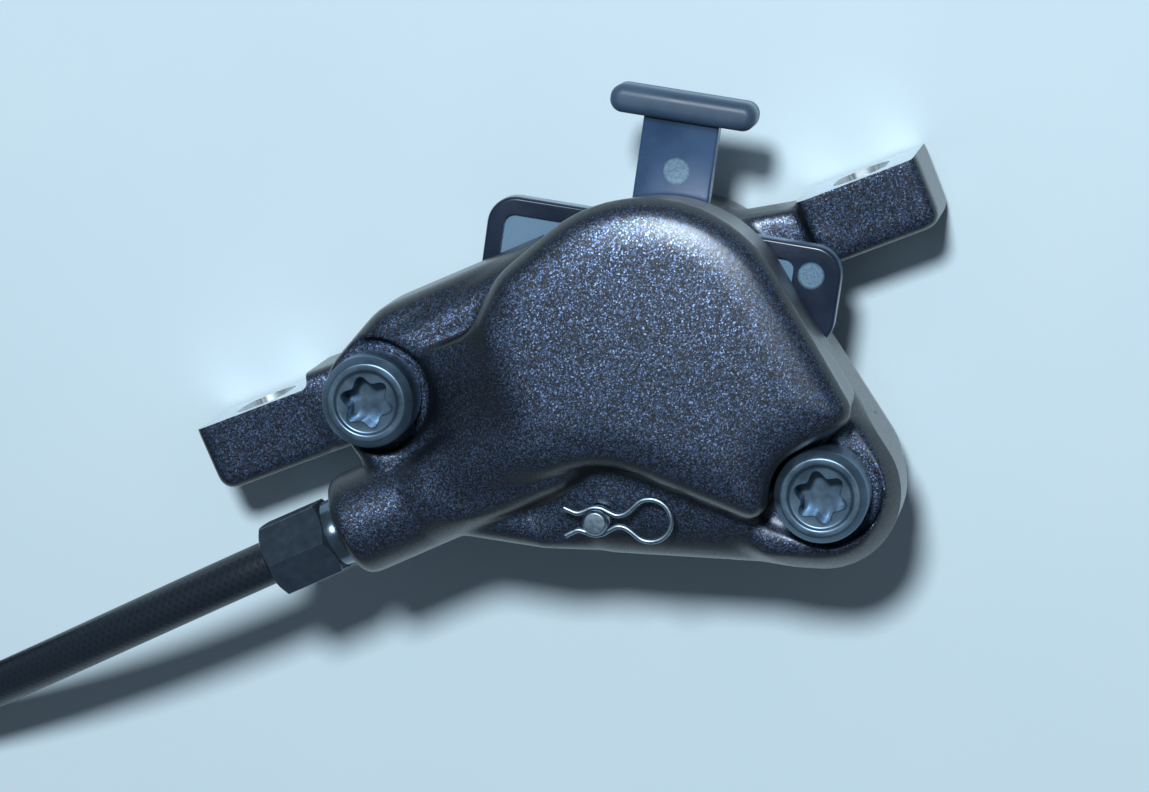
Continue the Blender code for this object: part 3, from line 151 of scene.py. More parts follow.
def tube(name, points, radius, sides, bore=None):
    """Round tube along points, its UV the distance along it and round it in metres.

    bore is the radius and depth of the blind hole in each end."""
    headings = [(points[min(k + 1, len(points) - 1)] - points[max(k - 1, 0)]).normalized()
                for k in range(len(points))]
    upright = headings[0].orthogonal().normalized()
    rings = []
    travelled = 0.0
    for k, (point, heading) in enumerate(zip(points, headings)):
        upright = (upright - heading * upright.dot(heading)).normalized()
        if k:
            travelled += (point - points[k - 1]).length
        rings.append((point, heading, upright.copy(), radius, travelled))
    if bore:
        inner, depth = bore
        first, last = rings[0], rings[-1]
        rings = ([(first[0] + first[1] * depth, first[1], first[2], inner, depth),
                  (first[0], first[1], first[2], inner, 0.0)] + rings
                 + [(last[0], last[1], last[2], inner, last[4]),
                    (last[0] - last[1] * depth, last[1], last[2], inner, last[4] - depth)])
    cage = bmesh.new()
    layer = cage.loops.layers.uv.new("UVMap")
    loops = []
    for point, heading, upright, size, along in rings:
        side = heading.cross(upright)
        loops.append([cage.verts.new(point + size * (math.cos(TAU * j / sides) * upright
                                                     + math.sin(TAU * j / sides) * side))
                      for j in range(sides)])
    for k in range(len(loops) - 1):
        for j in range(sides):
            after = (j + 1) % sides
            face = cage.faces.new((loops[k][j], loops[k][after], loops[k + 1][after],
                                   loops[k + 1][j]))
            face.smooth = True
            for loop, (row, column) in zip(face.loops, ((k, j), (k, j + 1), (k + 1, j + 1),
                                                        (k + 1, j))):
                loop[layer].uv = (rings[row][4], TAU * radius * column / sides)
    cage.faces.new(list(reversed(loops[0])))
    cage.faces.new(loops[-1])
    bmesh.ops.recalc_face_normals(cage, faces=cage.faces)
    mesh = bpy.data.meshes.new(name)
    cage.to_mesh(mesh)
    cage.free()
    mesh.set_sharp_from_angle(angle=math.radians(40.0))
    return show(name, mesh)


def linear(colour):
    """Scene colour of an sRGB hex value."""
    parts = [int(colour[k:k + 2], 16) / 255.0 for k in (1, 3, 5)]
    return (*[c / 12.92 if c <= 0.04045 else ((c + 0.055) / 1.055) ** 2.4 for c in parts], 1.0)


def finish(name, colour, roughness, metallic):
    """A material's name, node tree and shader, with its plain values set."""
    material = bpy.data.materials.new(name)
    material.use_nodes = True
    shader = material.node_tree.nodes["Principled BSDF"]
    shader.inputs["Base Color"].default_value = linear(colour)
    shader.inputs["Roughness"].default_value = roughness
    shader.inputs["Metallic"].default_value = metallic
    return material, material.node_tree, shader


def add(tree, kind, feeds=None, **settings):
    """Add a node, with its settings, and feed its inputs from values or (node, output) pairs."""
    made = tree.nodes.new(kind)
    for setting, value in settings.items():
        setattr(made, setting, value)
    for socket, source in (feeds or {}).items():
        if isinstance(source, tuple) and isinstance(source[0], bpy.types.Node):
            tree.links.new(source[0].outputs[source[1]], made.inputs[socket])
        else:
            made.inputs[socket].default_value = source
    return made


def link(tree, source, output, target, socket):
    """Join a node's output to a socket that has no value of its own."""
    tree.links.new(source.outputs[output], target.inputs[socket])


# The skin is extruded nylon over an aramid braid, satin, with the strands as a faint diamond relief
hose_skin, tree, shader = finish("extruded_nylon_over_braid", "#16181C", 0.36, 0.0)
shader.inputs["IOR"].default_value = 1.53
along_hose = add(tree, "ShaderNodeUVMap", uv_map="UVMap")
split = add(tree, "ShaderNodeSeparateXYZ", {"Vector": (along_hose, "UV")})
run = add(tree, "ShaderNodeMath", {0: (split, "X"), 1: TAU / BRAID_PITCH}, operation="MULTIPLY")
wrap = add(tree, "ShaderNodeMath", {0: (split, "Y"), 1: BRAID_STRANDS / HOSE_R},
           operation="MULTIPLY")
lefthand = add(tree, "ShaderNodeMath", {0: (run, 0), 1: (wrap, 0)}, operation="ADD")
righthand = add(tree, "ShaderNodeMath", {0: (run, 0), 1: (wrap, 0)}, operation="SUBTRACT")
left_wave = add(tree, "ShaderNodeMath", {0: (lefthand, 0)}, operation="SINE")
right_wave = add(tree, "ShaderNodeMath", {0: (righthand, 0)}, operation="SINE")
strands = add(tree, "ShaderNodeMath", {0: (left_wave, 0), 1: (right_wave, 0)},
              operation="MAXIMUM")
level = add(tree, "ShaderNodeMapRange", {"Value": (strands, 0), "From Min": -0.6,
                                         "From Max": 1.0})
tone = add(tree, "ShaderNodeMix", {"Factor": (level, 0), 6: linear("#151D27"),
                                   7: linear("#1D2732")}, data_type="RGBA")
link(tree, tone, 2, shader, "Base Color")
scuffs = add(tree, "ShaderNodeTexNoise", {"Vector": (along_hose, "UV"), "Scale": 1.0 / (4.0 * MM),
                                          "Detail": 5.0})
rough = add(tree, "ShaderNodeMapRange", {"Value": (scuffs, 0), "To Min": 0.28, "To Max": 0.46})
link(tree, rough, 0, shader, "Roughness")
relief = add(tree, "ShaderNodeBump", {"Height": (level, 0), "Strength": 0.25,
                                      "Distance": 0.05 * MM})
link(tree, relief, "Normal", shader, "Normal")

route = (smooth_route(HOSE_KNOTS, ROUTE_SPACING) + coil_route()
         + smooth_route(TAIL_KNOTS, ROUTE_SPACING))
hose = tube("brake_hose", route, HOSE_R, 20, bore=(HOSE_BORE_R, HOSE_BORE_DEPTH))
hose.data.materials.append(hose_skin)
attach(hose, "caliper")
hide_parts("hose", "hose_coil", "hose_tail")

# Compression nuts: turned from aluminium hexagon bar, 8 mm across flats, and anodised gloss black.
# Each screws into its port and squeezes the olive on to the hose.
NUT_FLATS = 8.0 * MM
NUT_INNER = 7.0 * MM
NUT_THREAD_END = 13.1 * MM
NUT_COLLAR_END = 14.4 * MM
NUT_OUTER = 22.2 * MM
NUT_THREAD_R = 3.9 * MM
NUT_CORE_R = 3.8 * MM
NUT_PITCH = 0.75 * MM
NUT_THREADS = 7
NUT_HOLE_R = HOSE_R + 0.12 * MM
NUT_CORNER_EDGE = 0.22 * MM
NUT_BEVEL = 0.8 * MM
NUT_BEVEL_DEPTH = 0.6 * MM


def belt(circles, inset=0.0, step=7.0):
    """Outline that runs anticlockwise round circles (x, y, radius) like a belt, drawn in by inset.

    A circle with a negative radius is passed on its other side and makes a hollow."""
    rounds = [(x, y, radius - inset) for x, y, radius in circles]
    count = len(rounds)
    normals = []
    for index in range(count):
        here, there = rounds[index], rounds[(index + 1) % count]
        gap = Vector((there[0] - here[0], there[1] - here[1]))
        turn = math.acos((here[2] - there[2]) / gap.length)
        normals.append(math.atan2(gap.y, gap.x) - turn)
    outline = []
    for index in range(count):
        x, y, radius = rounds[index]
        first = normals[index - 1]
        sweep = (normals[index] - first + 1e-4) % TAU - 1e-4
        if circles[index][2] < 0.0 and sweep > 1e-4:
            sweep -= TAU
        pieces = max(2, math.ceil(abs(sweep) / math.radians(step) - 1e-6))
        for k in range(pieces + 1):
            angle = first + sweep * k / pieces
            outline.append((x + radius * math.cos(angle), y + radius * math.sin(angle)))
    return outline


def loft(name, levels):
    """Closed solid through outlines of one count, given as (outline, height) from below."""
    cage = bmesh.new()
    rings = [[cage.verts.new((x, y, height)) for x, y in outline] for outline, height in levels]
    count = len(rings[0])
    for low, high in zip(rings, rings[1:]):
        for k in range(count):
            after = (k + 1) % count
            cage.faces.new((low[k], low[after], high[after], high[k]))
    cage.faces.new(list(reversed(rings[0])))
    cage.faces.new(rings[-1])
    mesh = bpy.data.meshes.new(name)
    cage.to_mesh(mesh)
    cage.free()
    return show(name, mesh)


def cushion(name, circles, low, high, under=0.0, over=0.0, drafted=1.0, step=7.0):
    """Slab with the belt's outline, its lower and upper rims rolled to the radii under and over.

    drafted is the scale of its foot, drawn in as a casting is to leave its mould."""
    levels = []
    rolls = 7
    for k in range(rolls + 1 if under else 1):
        angle = math.pi / 2.0 * (k / rolls if under else 1.0)
        levels.append((under * (1.0 - math.sin(angle)), low + under * (1.0 - math.cos(angle))))
    for k in range(rolls + 1 if over else 1):
        angle = math.pi / 2.0 * (k / rolls if over else 0.0)
        levels.append((over * (1.0 - math.cos(angle)), high - over * (1.0 - math.sin(angle))))
    drawn = []
    for inset, height in levels:
        scale = drafted + (1.0 - drafted) * (height - low) / (high - low)
        drawn.append(([(x * scale, y * scale) for x, y in belt(circles, inset, step)], height))
    return loft(name, drawn)


def lathe(name, profile, steps=64, ease=0.0):
    """Profile of (radius, height) points turned about Z, its corners eased to a radius."""
    points = [Vector(point) for point in profile]
    if ease:
        soft = [points[0]]
        for before, corner, after in zip(points, points[1:], points[2:]):
            back = min(ease, 0.45 * (before - corner).length, 0.45 * (after - corner).length)
            start = corner + (before - corner).normalized() * back
            end = corner + (after - corner).normalized() * back
            for k in range(5):
                t = k / 4.0
                soft.append(start * (1 - t) ** 2 + corner * 2 * t * (1 - t) + end * t * t)
        points = soft + [points[-1]]
    cage = bmesh.new()
    rings = []
    for radius, height in points:
        if radius < 1e-7:
            rings.append([cage.verts.new((0.0, 0.0, height))])
        else:
            rings.append([cage.verts.new((radius * math.cos(TAU * k / steps),
                                          radius * math.sin(TAU * k / steps), height))
                          for k in range(steps)])
    closed = len(rings[0]) > 1
    pairs = list(zip(rings, rings[1:])) + ([(rings[-1], rings[0])] if closed else [])
    for upper, lower in pairs:
        for k in range(steps):
            after = (k + 1) % steps
            corners = [upper[k % len(upper)], upper[after % len(upper)],
                       lower[after % len(lower)], lower[k % len(lower)]]
            cage.faces.new(list(dict.fromkeys(corners)))
    bmesh.ops.recalc_face_normals(cage, faces=cage.faces)
    mesh = bpy.data.meshes.new(name)
    cage.to_mesh(mesh)
    cage.free()
    return show(name, mesh)


def settle(piece):
    """Keep the mesh that a piece's modifiers give."""
    graph = bpy.context.evaluated_depsgraph_get()
    mesh = bpy.data.meshes.new_from_object(piece.evaluated_get(graph))
    piece.modifiers.clear()
    piece.data = mesh


def carve(piece, tools, operation="DIFFERENCE"):
    """Cut tools from a piece, join them on or keep what they share, all in one step."""
    group = bpy.data.collections.new("tools")
    bpy.context.scene.collection.children.link(group)
    for tool in tools:
        bpy.context.scene.collection.objects.unlink(tool)
        group.objects.link(tool)
    step = piece.modifiers.new("carve", "BOOLEAN")
    step.operation = operation
    step.solver = "EXACT"
    step.operand_type = "COLLECTION"
    step.collection = group
    settle(piece)
    for tool in tools:
        bpy.data.objects.remove(tool, do_unlink=True)
    bpy.data.collections.remove(group)


def shade(piece, degrees=35.0):
    """Smooth the round faces and keep the edges sharper than an angle."""
    piece.data.shade_smooth()
    piece.data.set_sharp_from_angle(angle=math.radians(degrees))


def along(piece, start, heading):
    """Lay a piece made about Z along a line, with its foot at start."""
    turn = Vector(heading).to_track_quat("Z", "Y").to_matrix().to_4x4()
    piece.data.transform(Matrix.Translation(start) @ turn)
    return piece


def dress(piece, material, body, node, degrees=35.0):
    """Shade a finished piece, give it its material, and let it stand for its node."""
    shade(piece, degrees)
    piece.data.materials.clear()
    piece.data.materials.append(material)
    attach(piece, body)
    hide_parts(node)


# Hard black anodising over turned aluminium: glossy, with a dye that is a little uneven over
# every millimetre or so
anodised, tree, shader = finish("gloss_black_anodised_aluminium", "#465666", 0.18, 0.85)
shader.inputs["Coat Weight"].default_value = 0.5
shader.inputs["Coat Roughness"].default_value = 0.12
place = add(tree, "ShaderNodeTexCoord")
marks = add(tree, "ShaderNodeTexNoise", {"Vector": (place, "Object"), "Scale": 1.0 / (1.1 * MM),
                                         "Detail": 6.0})
rough = add(tree, "ShaderNodeMapRange", {"Value": (marks, 0), "To Min": 0.14, "To Max": 0.28})
link(tree, rough, 0, shader, "Roughness")
tone = add(tree, "ShaderNodeMix", {"Factor": (marks, 0), 6: linear("#465766"),
                                   7: linear("#758A9E")}, data_type="RGBA")
link(tree, tone, 2, shader, "Base Color")
relief = add(tree, "ShaderNodeBump", {"Height": (marks, 0), "Strength": 0.12,
                                      "Distance": 0.02 * MM})
link(tree, relief, "Normal", shader, "Normal")

TAIL_LINE = (Vector(TAIL_KNOTS[-2]) - TAIL_END).normalized()
for name, start, heading, turn in (("hose_nut", HOSE_START, -PORT_LINE, TAU / 12.0),
                                   ("lever_end_nut", TAIL_END, TAIL_LINE, 0.0)):
    tip = NUT_FLATS / math.sqrt(3.0)
    corner = tip - 2.0 * NUT_CORNER_EDGE / math.sqrt(3.0)
    hexagon = [(corner * math.cos(turn + TAU * k / 6.0), corner * math.sin(turn + TAU * k / 6.0),
                NUT_CORNER_EDGE) for k in range(6)]
    nut = cushion(name + "_dressed", hexagon, NUT_COLLAR_END, NUT_OUTER, step=20.0)
    ends = lathe("nut_ends", [(0.0, NUT_OUTER + 0.01 * MM),
                              (tip - NUT_BEVEL, NUT_OUTER + 0.01 * MM),
                              (tip + 0.1 * MM, NUT_OUTER - NUT_BEVEL_DEPTH),
                              (tip + 0.1 * MM, NUT_COLLAR_END + NUT_BEVEL_DEPTH),
                              (tip - NUT_BEVEL, NUT_COLLAR_END - 0.01 * MM),
                              (0.0, NUT_COLLAR_END - 0.01 * MM)])
    carve(nut, [ends], "INTERSECT")
    thread = [(0.0, NUT_COLLAR_END + 1.0 * MM), (NUT_CORE_R, NUT_COLLAR_END + 1.0 * MM),
              (NUT_CORE_R, NUT_THREAD_END + 0.3 * MM)]
    for k in range(NUT_THREADS):
        height = NUT_THREAD_END - 0.4 * MM - NUT_PITCH * k
        thread += [(NUT_THREAD_R - 0.35 * MM, height + 0.3 * MM), (NUT_THREAD_R, height)]
    thread += [(NUT_THREAD_R - 0.5 * MM, NUT_INNER), (0.0, NUT_INNER)]
    carve(nut, [lathe("nut_thread", thread)], "UNION")
    hole = cushion("nut_hole", [(0.0, 0.0, NUT_HOLE_R), (1e-6, 0.0, NUT_HOLE_R)],
                   NUT_INNER - MM, NUT_OUTER + MM)
    carve(nut, [hole])
    dress(along(nut, start, heading), anodised, "caliper", name)

# Inboard half: cast aluminium with the hose port, painted, then machined where parts fit.
# Its raised face covers the piston, slopes down to the neck and hollows round the bolt pockets.
CAST_GRAIN = 0.36 * MM
ROTOR_PLANE = 18.0 * MM
PARTING = 0.15 * MM
FACE_TOP = 36.0 * MM
SHOULDER_TOP = 29.6 * MM
MACHINING = 1.6 * MM
SHIELD_DRAFT = 0.905
FACE_DRAFT = 0.897
SHOULDER_RIM = 2.8 * MM
FACE_RIM = 1.9 * MM
SLOPE_START = -15.3 * MM
SLOPE_TILT = math.radians(-33.0)
SKIRT_LEAN = Vector((-0.7 * MM, -2.3 * MM, 0.0))
SKIRT_INSET = 0.9 * MM
SKIRT_FOOT = SHOULDER_TOP - 2.5 * MM
SKIRT_HEAD = FACE_TOP - 1.0 * MM
BARREL_R = 5.9 * MM
BARREL_LENGTH = 22.0 * MM
NECK_FOOT = (-31.0 * MM, -7.3 * MM, 25.0 * MM)
NECK_HEAD = (-15.8 * MM, -5.6 * MM, 29.8 * MM)
NECK_HEAD_R = 6.2 * MM
RIDGE_START = (-27.5 * MM, 8.6 * MM, 26.2 * MM)
RIDGE_END = (-10.5 * MM, 10.6 * MM, 26.6 * MM)
RIDGE_R = 3.9 * MM
ARCH_R = 16.5 * MM
HOSE_BOLT = Vector((-31.0 * MM, 5.2 * MM))
FAR_BOLT = Vector((11.8 * MM, -21.5 * MM))
# Middle of the far bolt's lobe in plan, in millimetres
LOBE = (10.9, -22.1)
BODY_CIRCLES = [(LOBE[0] * MM, LOBE[1] * MM, 8.6 * MM), (0.0, 0.0, SHIELD_DRAFT * ARCH_R),
                (-25.5 * MM, 6.4 * MM, 7.6 * MM), (HOSE_BOLT.x, HOSE_BOLT.y, 6.1 * MM),
                (-29.5 * MM, -6.5 * MM, 5.0 * MM), (-10.0 * MM, -14.0 * MM, 7.8 * MM)]
FACE_CIRCLES = [(16.4 * MM, -13.2 * MM, 2.2 * MM), (0.0, 0.0, ARCH_R),
                (-8.5 * MM, 6.5 * MM, 7.6 * MM), (-19.5 * MM, 12.6 * MM, -4.3 * MM),
                (-24.6 * MM, 5.2 * MM, 3.0 * MM), (-23.6 * MM, -4.9 * MM, 4.0 * MM),
                (-13.0 * MM, -19.5 * MM, -10.0 * MM), (4.6 * MM, -19.4 * MM, 2.0 * MM),
                (FAR_BOLT.x, FAR_BOLT.y, -5.4 * MM)]
BOLT_SEAT = 27.6 * MM
BOLT_HOLE_R = 3.3 * MM
POCKET_R = 6.4 * MM
FAR_POCKET_CIRCLES = [(FAR_BOLT.x, FAR_BOLT.y, POCKET_R), (17.3 * MM, -16.0 * MM, 0.9 * MM),
                      (4.6 * MM, -22.2 * MM, 0.9 * MM)]
PORT_R = 4.2 * MM
PORT_DEPTH = 10.6 * MM
PILOT_R = 2.8 * MM
PILOT_DEPTH = 14.2 * MM
PAD_TILT = math.radians(30.0)
PAD_FRAME = Matrix.Translation((0.0, 0.0, ROTOR_PLANE)) @ Matrix.Rotation(-PAD_TILT, 4, "Z")
AXLE = Vector((-12.5 * MM, -15.9 * MM))
AXLE_HOLE_R = 1.6 * MM
PAD_MID = -1.5 * MM
PAD_HALF = 12.9 * MM
PAD_TOP = 9.8 * MM
PAD_ROOM = 0.3 * MM
POCKET_CORNER = 2.2 * MM
POCKET_DEPTH = 6.45 * MM
BORE_R = 11.0 * MM
BORE_END = 15.2 * MM
GROOVE_LOW = 9.05 * MM
GROOVE_HIGH = 11.35 * MM
GROOVE_DEPTH = 2.0 * MM
SLOT_HALF = 2.4 * MM
SLOT_REACH = 46.0 * MM
ROTOR_SWEEP_R = 81.5 * MM
ROTOR_AXLE_Y = 72.5 * MM

# Shaping of the cast surface, in millimetres as the rows of its vertices are. Each group of places
# is rounded more than the rest: it holds the places, how far each one reaches and its share.
CAST_SHARE = 0.03
CAST_PASSES = 150
VALLEY = ([(-23.0, -2.5, 30.0), (-20.0, 1.0, 31.0), (-18.0, -2.0, 33.0)], 5.2, 0.35)
FACE_CORNER = ([(-15.5, -5.0, 35.0), (-15.5, -1.0, 35.0), (-15.5, 3.0, 35.0)], 3.4, 0.6)
WEB_FOOT = ([(-16.0, -10.5, 30.5), (-12.0, -11.0, 30.5), (-8.0, -13.0, 30.5),
             (-4.0, -16.0, 30.5), (-1.0, -18.5, 30.0), (2.0, -22.0, 29.5)], 2.6, 0.5)
POCKET_HORNS = ([(5.0, -24.2, 28.4), (8.0, -27.2, 28.4), (12.0, -28.6, 28.4)], 2.0, 0.2)

# The face's crown over its middle, and the dome that its rim falls to
CROWN_FALL = 0.5
CROWN_MIDDLE = (-3.0, -5.0)
CROWN_REACH = 17.0
CROWN_FOOT = 31.0
CROWN_RISE = 4.0
DOME_WIDTH = 5.5
DOME_FALL = 1.2

# The web's rolled edge, where it is found by height and in plan, and how far it fades out
WEB_SINK = 0.5
WEB_ROLL = 9.0
WEB_FALL = 6.0
WEB_CEILING = 30.5
WEB_FLOOR = ROTOR_PLANE / MM + 3.0
WEB_LEFT = -20.0
WEB_UPPER = -4.0
WEB_FADE = 5.0

# The cone that the web becomes round the far bolt's lobe, and the low place by the pocket's horn
LOBE_RIM = 2.2
LOBE_REACH = 10.6
LOBE_FADE = 1.6
CONE_LIP = 0.3
CONE_CURL = 0.25
CONE_EASE = 2.3
HORN = (6.5, -25.0)
HORN_REACH = 3.5
HORN_FALL = 0.6

# Satin black powder paint with a fine metallic grain: dark, with blue flakes and a clear satin top
# with a faint orange peel. The flakes' colour and metal are painted in only where the surface faces
# the camera, a painted glint. Real flakes are too fine to show from here, so they are drawn 0.13 mm
# wide
FLAKE = 0.13 * MM
paint, tree, shader = finish("satin_black_flake_paint", "#10141C", 0.4, 0.4)
shader.inputs["IOR"].default_value = 1.5
shader.inputs["Coat Weight"].default_value = 0.8
shader.inputs["Coat Roughness"].default_value = 0.38
shader.inputs["Coat IOR"].default_value = 1.6
place = add(tree, "ShaderNodeTexCoord")
warp = add(tree, "ShaderNodeTexNoise", {"Vector": (place, "Object"), "Scale": 1.0 / (0.4 * MM),
                                        "Detail": 2.0})
bent = add(tree, "ShaderNodeMix", {"Factor": 0.00008, 4: (place, "Object"),
                                   5: (warp, "Color")}, data_type="VECTOR")
flakes = add(tree, "ShaderNodeTexVoronoi", {"Vector": (bent, 1), "Scale": 1.0 / FLAKE,
                                            "Randomness": 1.0}, voronoi_dimensions="3D")
sparks = add(tree, "ShaderNodeSeparateXYZ", {"Vector": (flakes, "Color")})
bright = add(tree, "ShaderNodeMath", {0: (sparks, "X"), 1: 3.2}, operation="POWER")
tint = add(tree, "ShaderNodeMix", {"Factor": (sparks, "Y"), 6: linear("#4970A6"),
                                   7: linear("#7C95C0")}, data_type="RGBA")
# Painted glint: the flakes' colour and metal fade to the dark base where the surface turns aside
# from the camera
aslant = add(tree, "ShaderNodeLayerWeight", {"Blend": 0.5})
painted_glint_facing = add(tree, "ShaderNodeMapRange", {"Value": (aslant, "Facing"), "From Min": 0.05,
                                        "From Max": 0.37, "To Min": 1.0, "To Max": 0.03})
painted_glint_flakes = add(tree, "ShaderNodeMath", {0: (bright, 0), 1: (painted_glint_facing, 0)}, operation="MULTIPLY")
tone = add(tree, "ShaderNodeMix", {"Factor": (painted_glint_flakes, 0), 6: linear("#0D131B"), 7: (tint, 2)},
           data_type="RGBA")
link(tree, tone, 2, shader, "Base Color")
metal = add(tree, "ShaderNodeMapRange", {"Value": (painted_glint_flakes, 0), "To Min": 0.3, "To Max": 0.9})
link(tree, metal, 0, shader, "Metallic")
lean = add(tree, "ShaderNodeVectorMath", {0: (flakes, "Color"), 1: (0.5, 0.5, 0.5)},
           operation="SUBTRACT")
small_lean = add(tree, "ShaderNodeVectorMath", {0: (lean, 0), "Scale": 0.2}, operation="SCALE")
surface = add(tree, "ShaderNodeNewGeometry")
leaned = add(tree, "ShaderNodeVectorMath", {0: (surface, "Normal"), 1: (small_lean, 0)},
             operation="ADD")
flake_normal = add(tree, "ShaderNodeVectorMath", {0: (leaned, 0)}, operation="NORMALIZE")
link(tree, flake_normal, 0, shader, "Normal")
peel = add(tree, "ShaderNodeTexNoise", {"Vector": (place, "Object"), "Scale": 1.0 / (0.7 * MM),
                                        "Detail": 4.0})
peel_relief = add(tree, "ShaderNodeBump", {"Height": (peel, 0), "Strength": 0.25,
                                           "Distance": 0.03 * MM})
link(tree, peel_relief, "Normal", shader, "Coat Normal")

# Milled aluminium where a cutter went through the paint: bare and bright, with the mill's lines,
# drawn about a millimetre apart because the real feed marks are too fine to show
machined, tree, shader = finish("milled_bare_aluminium", "#D6DCE0", 0.4, 1.0)
place = add(tree, "ShaderNodeTexCoord")
passes = add(tree, "ShaderNodeTexWave", {"Vector": (place, "Object"), "Scale": 1.0 / (1.1 * MM),
                                         "Distortion": 1.5, "Detail": 2.0}, wave_type="BANDS",
             bands_direction="Z")
rough = add(tree, "ShaderNodeMapRange", {"Value": (passes, 1), "To Min": 0.34, "To Max": 0.5})
link(tree, rough, 0, shader, "Roughness")
tone = add(tree, "ShaderNodeMix", {"Factor": (passes, 1), 6: linear("#DCE4EA"),
                                   7: linear("#F2F6F8")}, data_type="RGBA")
link(tree, tone, 2, shader, "Base Color")
relief = add(tree, "ShaderNodeBump", {"Height": (passes, 1), "Strength": 0.15,
                                      "Distance": 0.02 * MM})
link(tree, relief, "Normal", shader, "Normal")


def box_circles(left, right, low, high, corner):
    """Circles of a rectangle with round corners."""
    return [(right - corner, low + corner, corner), (right - corner, high - corner, corner),
            (left + corner, high - corner, corner), (left + corner, low + corner, corner)]


def capsule(name, start, end, start_r, end_r, sides=40):
    """Round bar with ball ends between two places, for a cast rib or fairing."""
    start, end = Vector(start), Vector(end)
    length = (end - start).length
    profile = []
    for k in range(13):
        angle = math.pi / 2.0 * (1.0 - k / 12.0)
        profile.append((end_r * math.cos(angle), length + end_r * math.sin(angle)))
    for k in range(13):
        angle = -math.pi / 2.0 * k / 12.0
        profile.append((start_r * math.cos(angle), start_r * math.sin(angle)))
    profile[0] = (0.0, profile[0][1])
    profile[-1] = (0.0, profile[-1][1])
    return along(lathe(name, profile, sides), start, end - start)


def remesh(piece):
    """Even grid of faces over a joined solid, fine enough to round its corners on."""
    step = piece.modifiers.new("grid", "REMESH")
    step.mode = "VOXEL"
    step.voxel_size = CAST_GRAIN
    settle(piece)


def places_of(piece):
    """The piece's vertices as rows of x, y and z."""
    rows = np.empty(3 * len(piece.data.vertices), np.float32)
    piece.data.vertices.foreach_get("co", rows)
    return rows.reshape(-1, 3).astype(float)


def relax(piece, passes, weights):
    """Draw each vertex towards its neighbours' middle, as a cast corner is rounded."""
    rows = places_of(piece)
    pairs = np.empty(2 * len(piece.data.edges), np.int32)
    piece.data.edges.foreach_get("vertices", pairs)
    a, b = pairs[0::2], pairs[1::2]
    count = len(rows)
    near = np.bincount(a, minlength=count) + np.bincount(b, minlength=count)
    near = np.maximum(near, 1)[:, None]
    share = 0.5 * np.clip(weights, 0.0, 1.0)[:, None]
    for _ in range(passes):
        total = np.stack([np.bincount(a, rows[b, axis], count)
                          + np.bincount(b, rows[a, axis], count) for axis in range(3)], axis=1)
        rows += share * (total / near - rows)
    piece.data.vertices.foreach_set("co", rows.astype(np.float32).ravel())
    piece.data.update()


def nearness(rows, spots, reach):
    """1 at the spots, falling smoothly to 0 further off than their reach."""
    most = np.zeros(len(rows))
    for spot in spots:
        gap = np.linalg.norm(rows - np.array(spot), axis=1)
        most = np.maximum(most, np.exp(-(gap / reach) ** 2))
    return most


def edge_gap(rows, outline):
    """Distance in plan from each of the rows to a closed outline."""
    least = np.full(len(rows), 1e9)
    for start, end in zip(outline, np.roll(outline, -1, axis=0)):
        run = end - start
        length = float(run @ run)
        if length < 1e-12:
            continue
        t = np.clip((rows[:, :2] - start) @ run / length, 0.0, 1.0)
        least = np.minimum(least, np.hypot(*(rows[:, :2] - start - t[:, None] * run).T))
    return least


def coat(piece, bare=True):
    """Give a cutter the paint and the bare metal, and leave the one its cut shows."""
    piece.data.materials.clear()
    piece.data.materials.append(paint)
    piece.data.materials.append(machined)
    piece.data.polygons.foreach_set("material_index", [int(bare)] * len(piece.data.polygons))
    return piece


def bar(name, radius, low, high, x=0.0, y=0.0, sides=48):
    """Round cutter about Z."""
    shape = lathe(name, [(0.0, high), (radius, high), (radius, low), (0.0, low)], sides)
    shape.data.transform(Matrix.Translation((x, y, 0.0)))
    return shape


def pad_cutters(sign):
    """Rotor slot, pad pocket, piston bore and seal groove of one half, in the pads' frame."""
    half_sweep = math.asin(SLOT_REACH / ROTOR_SWEEP_R)
    arc = []
    for k in range(41):
        angle = -half_sweep + 2.0 * half_sweep * k / 40
        arc.append((ROTOR_SWEEP_R * math.sin(angle),
                    ROTOR_AXLE_Y - ROTOR_SWEEP_R * math.cos(angle)))
    arc += [(SLOT_REACH, SLOT_REACH), (-SLOT_REACH, SLOT_REACH)]
    slot = coat(loft("rotor_slot", [(arc, -SLOT_HALF), (arc, SLOT_HALF)]), bare=False)
    pocket = coat(cushion("pad_pocket", box_circles(PAD_MID - PAD_HALF - PAD_ROOM,
                                                    PAD_MID + PAD_HALF + PAD_ROOM, -45.0 * MM,
                                                    PAD_TOP + PAD_ROOM, POCKET_CORNER),
                          -POCKET_DEPTH, POCKET_DEPTH), bare=False)
    low, high = sorted((sign * (POCKET_DEPTH - MM), sign * BORE_END))
    bore = coat(bar("piston_bore", BORE_R, low, high, sides=72))
    low, high = sorted((sign * GROOVE_LOW, sign * GROOVE_HIGH))
    groove = coat(bar("seal_groove", BORE_R + GROOVE_DEPTH, low, high, sides=72))
    tools = [slot, pocket, bore, groove]
    for tool in tools:
        tool.data.transform(PAD_FRAME)
    return tools


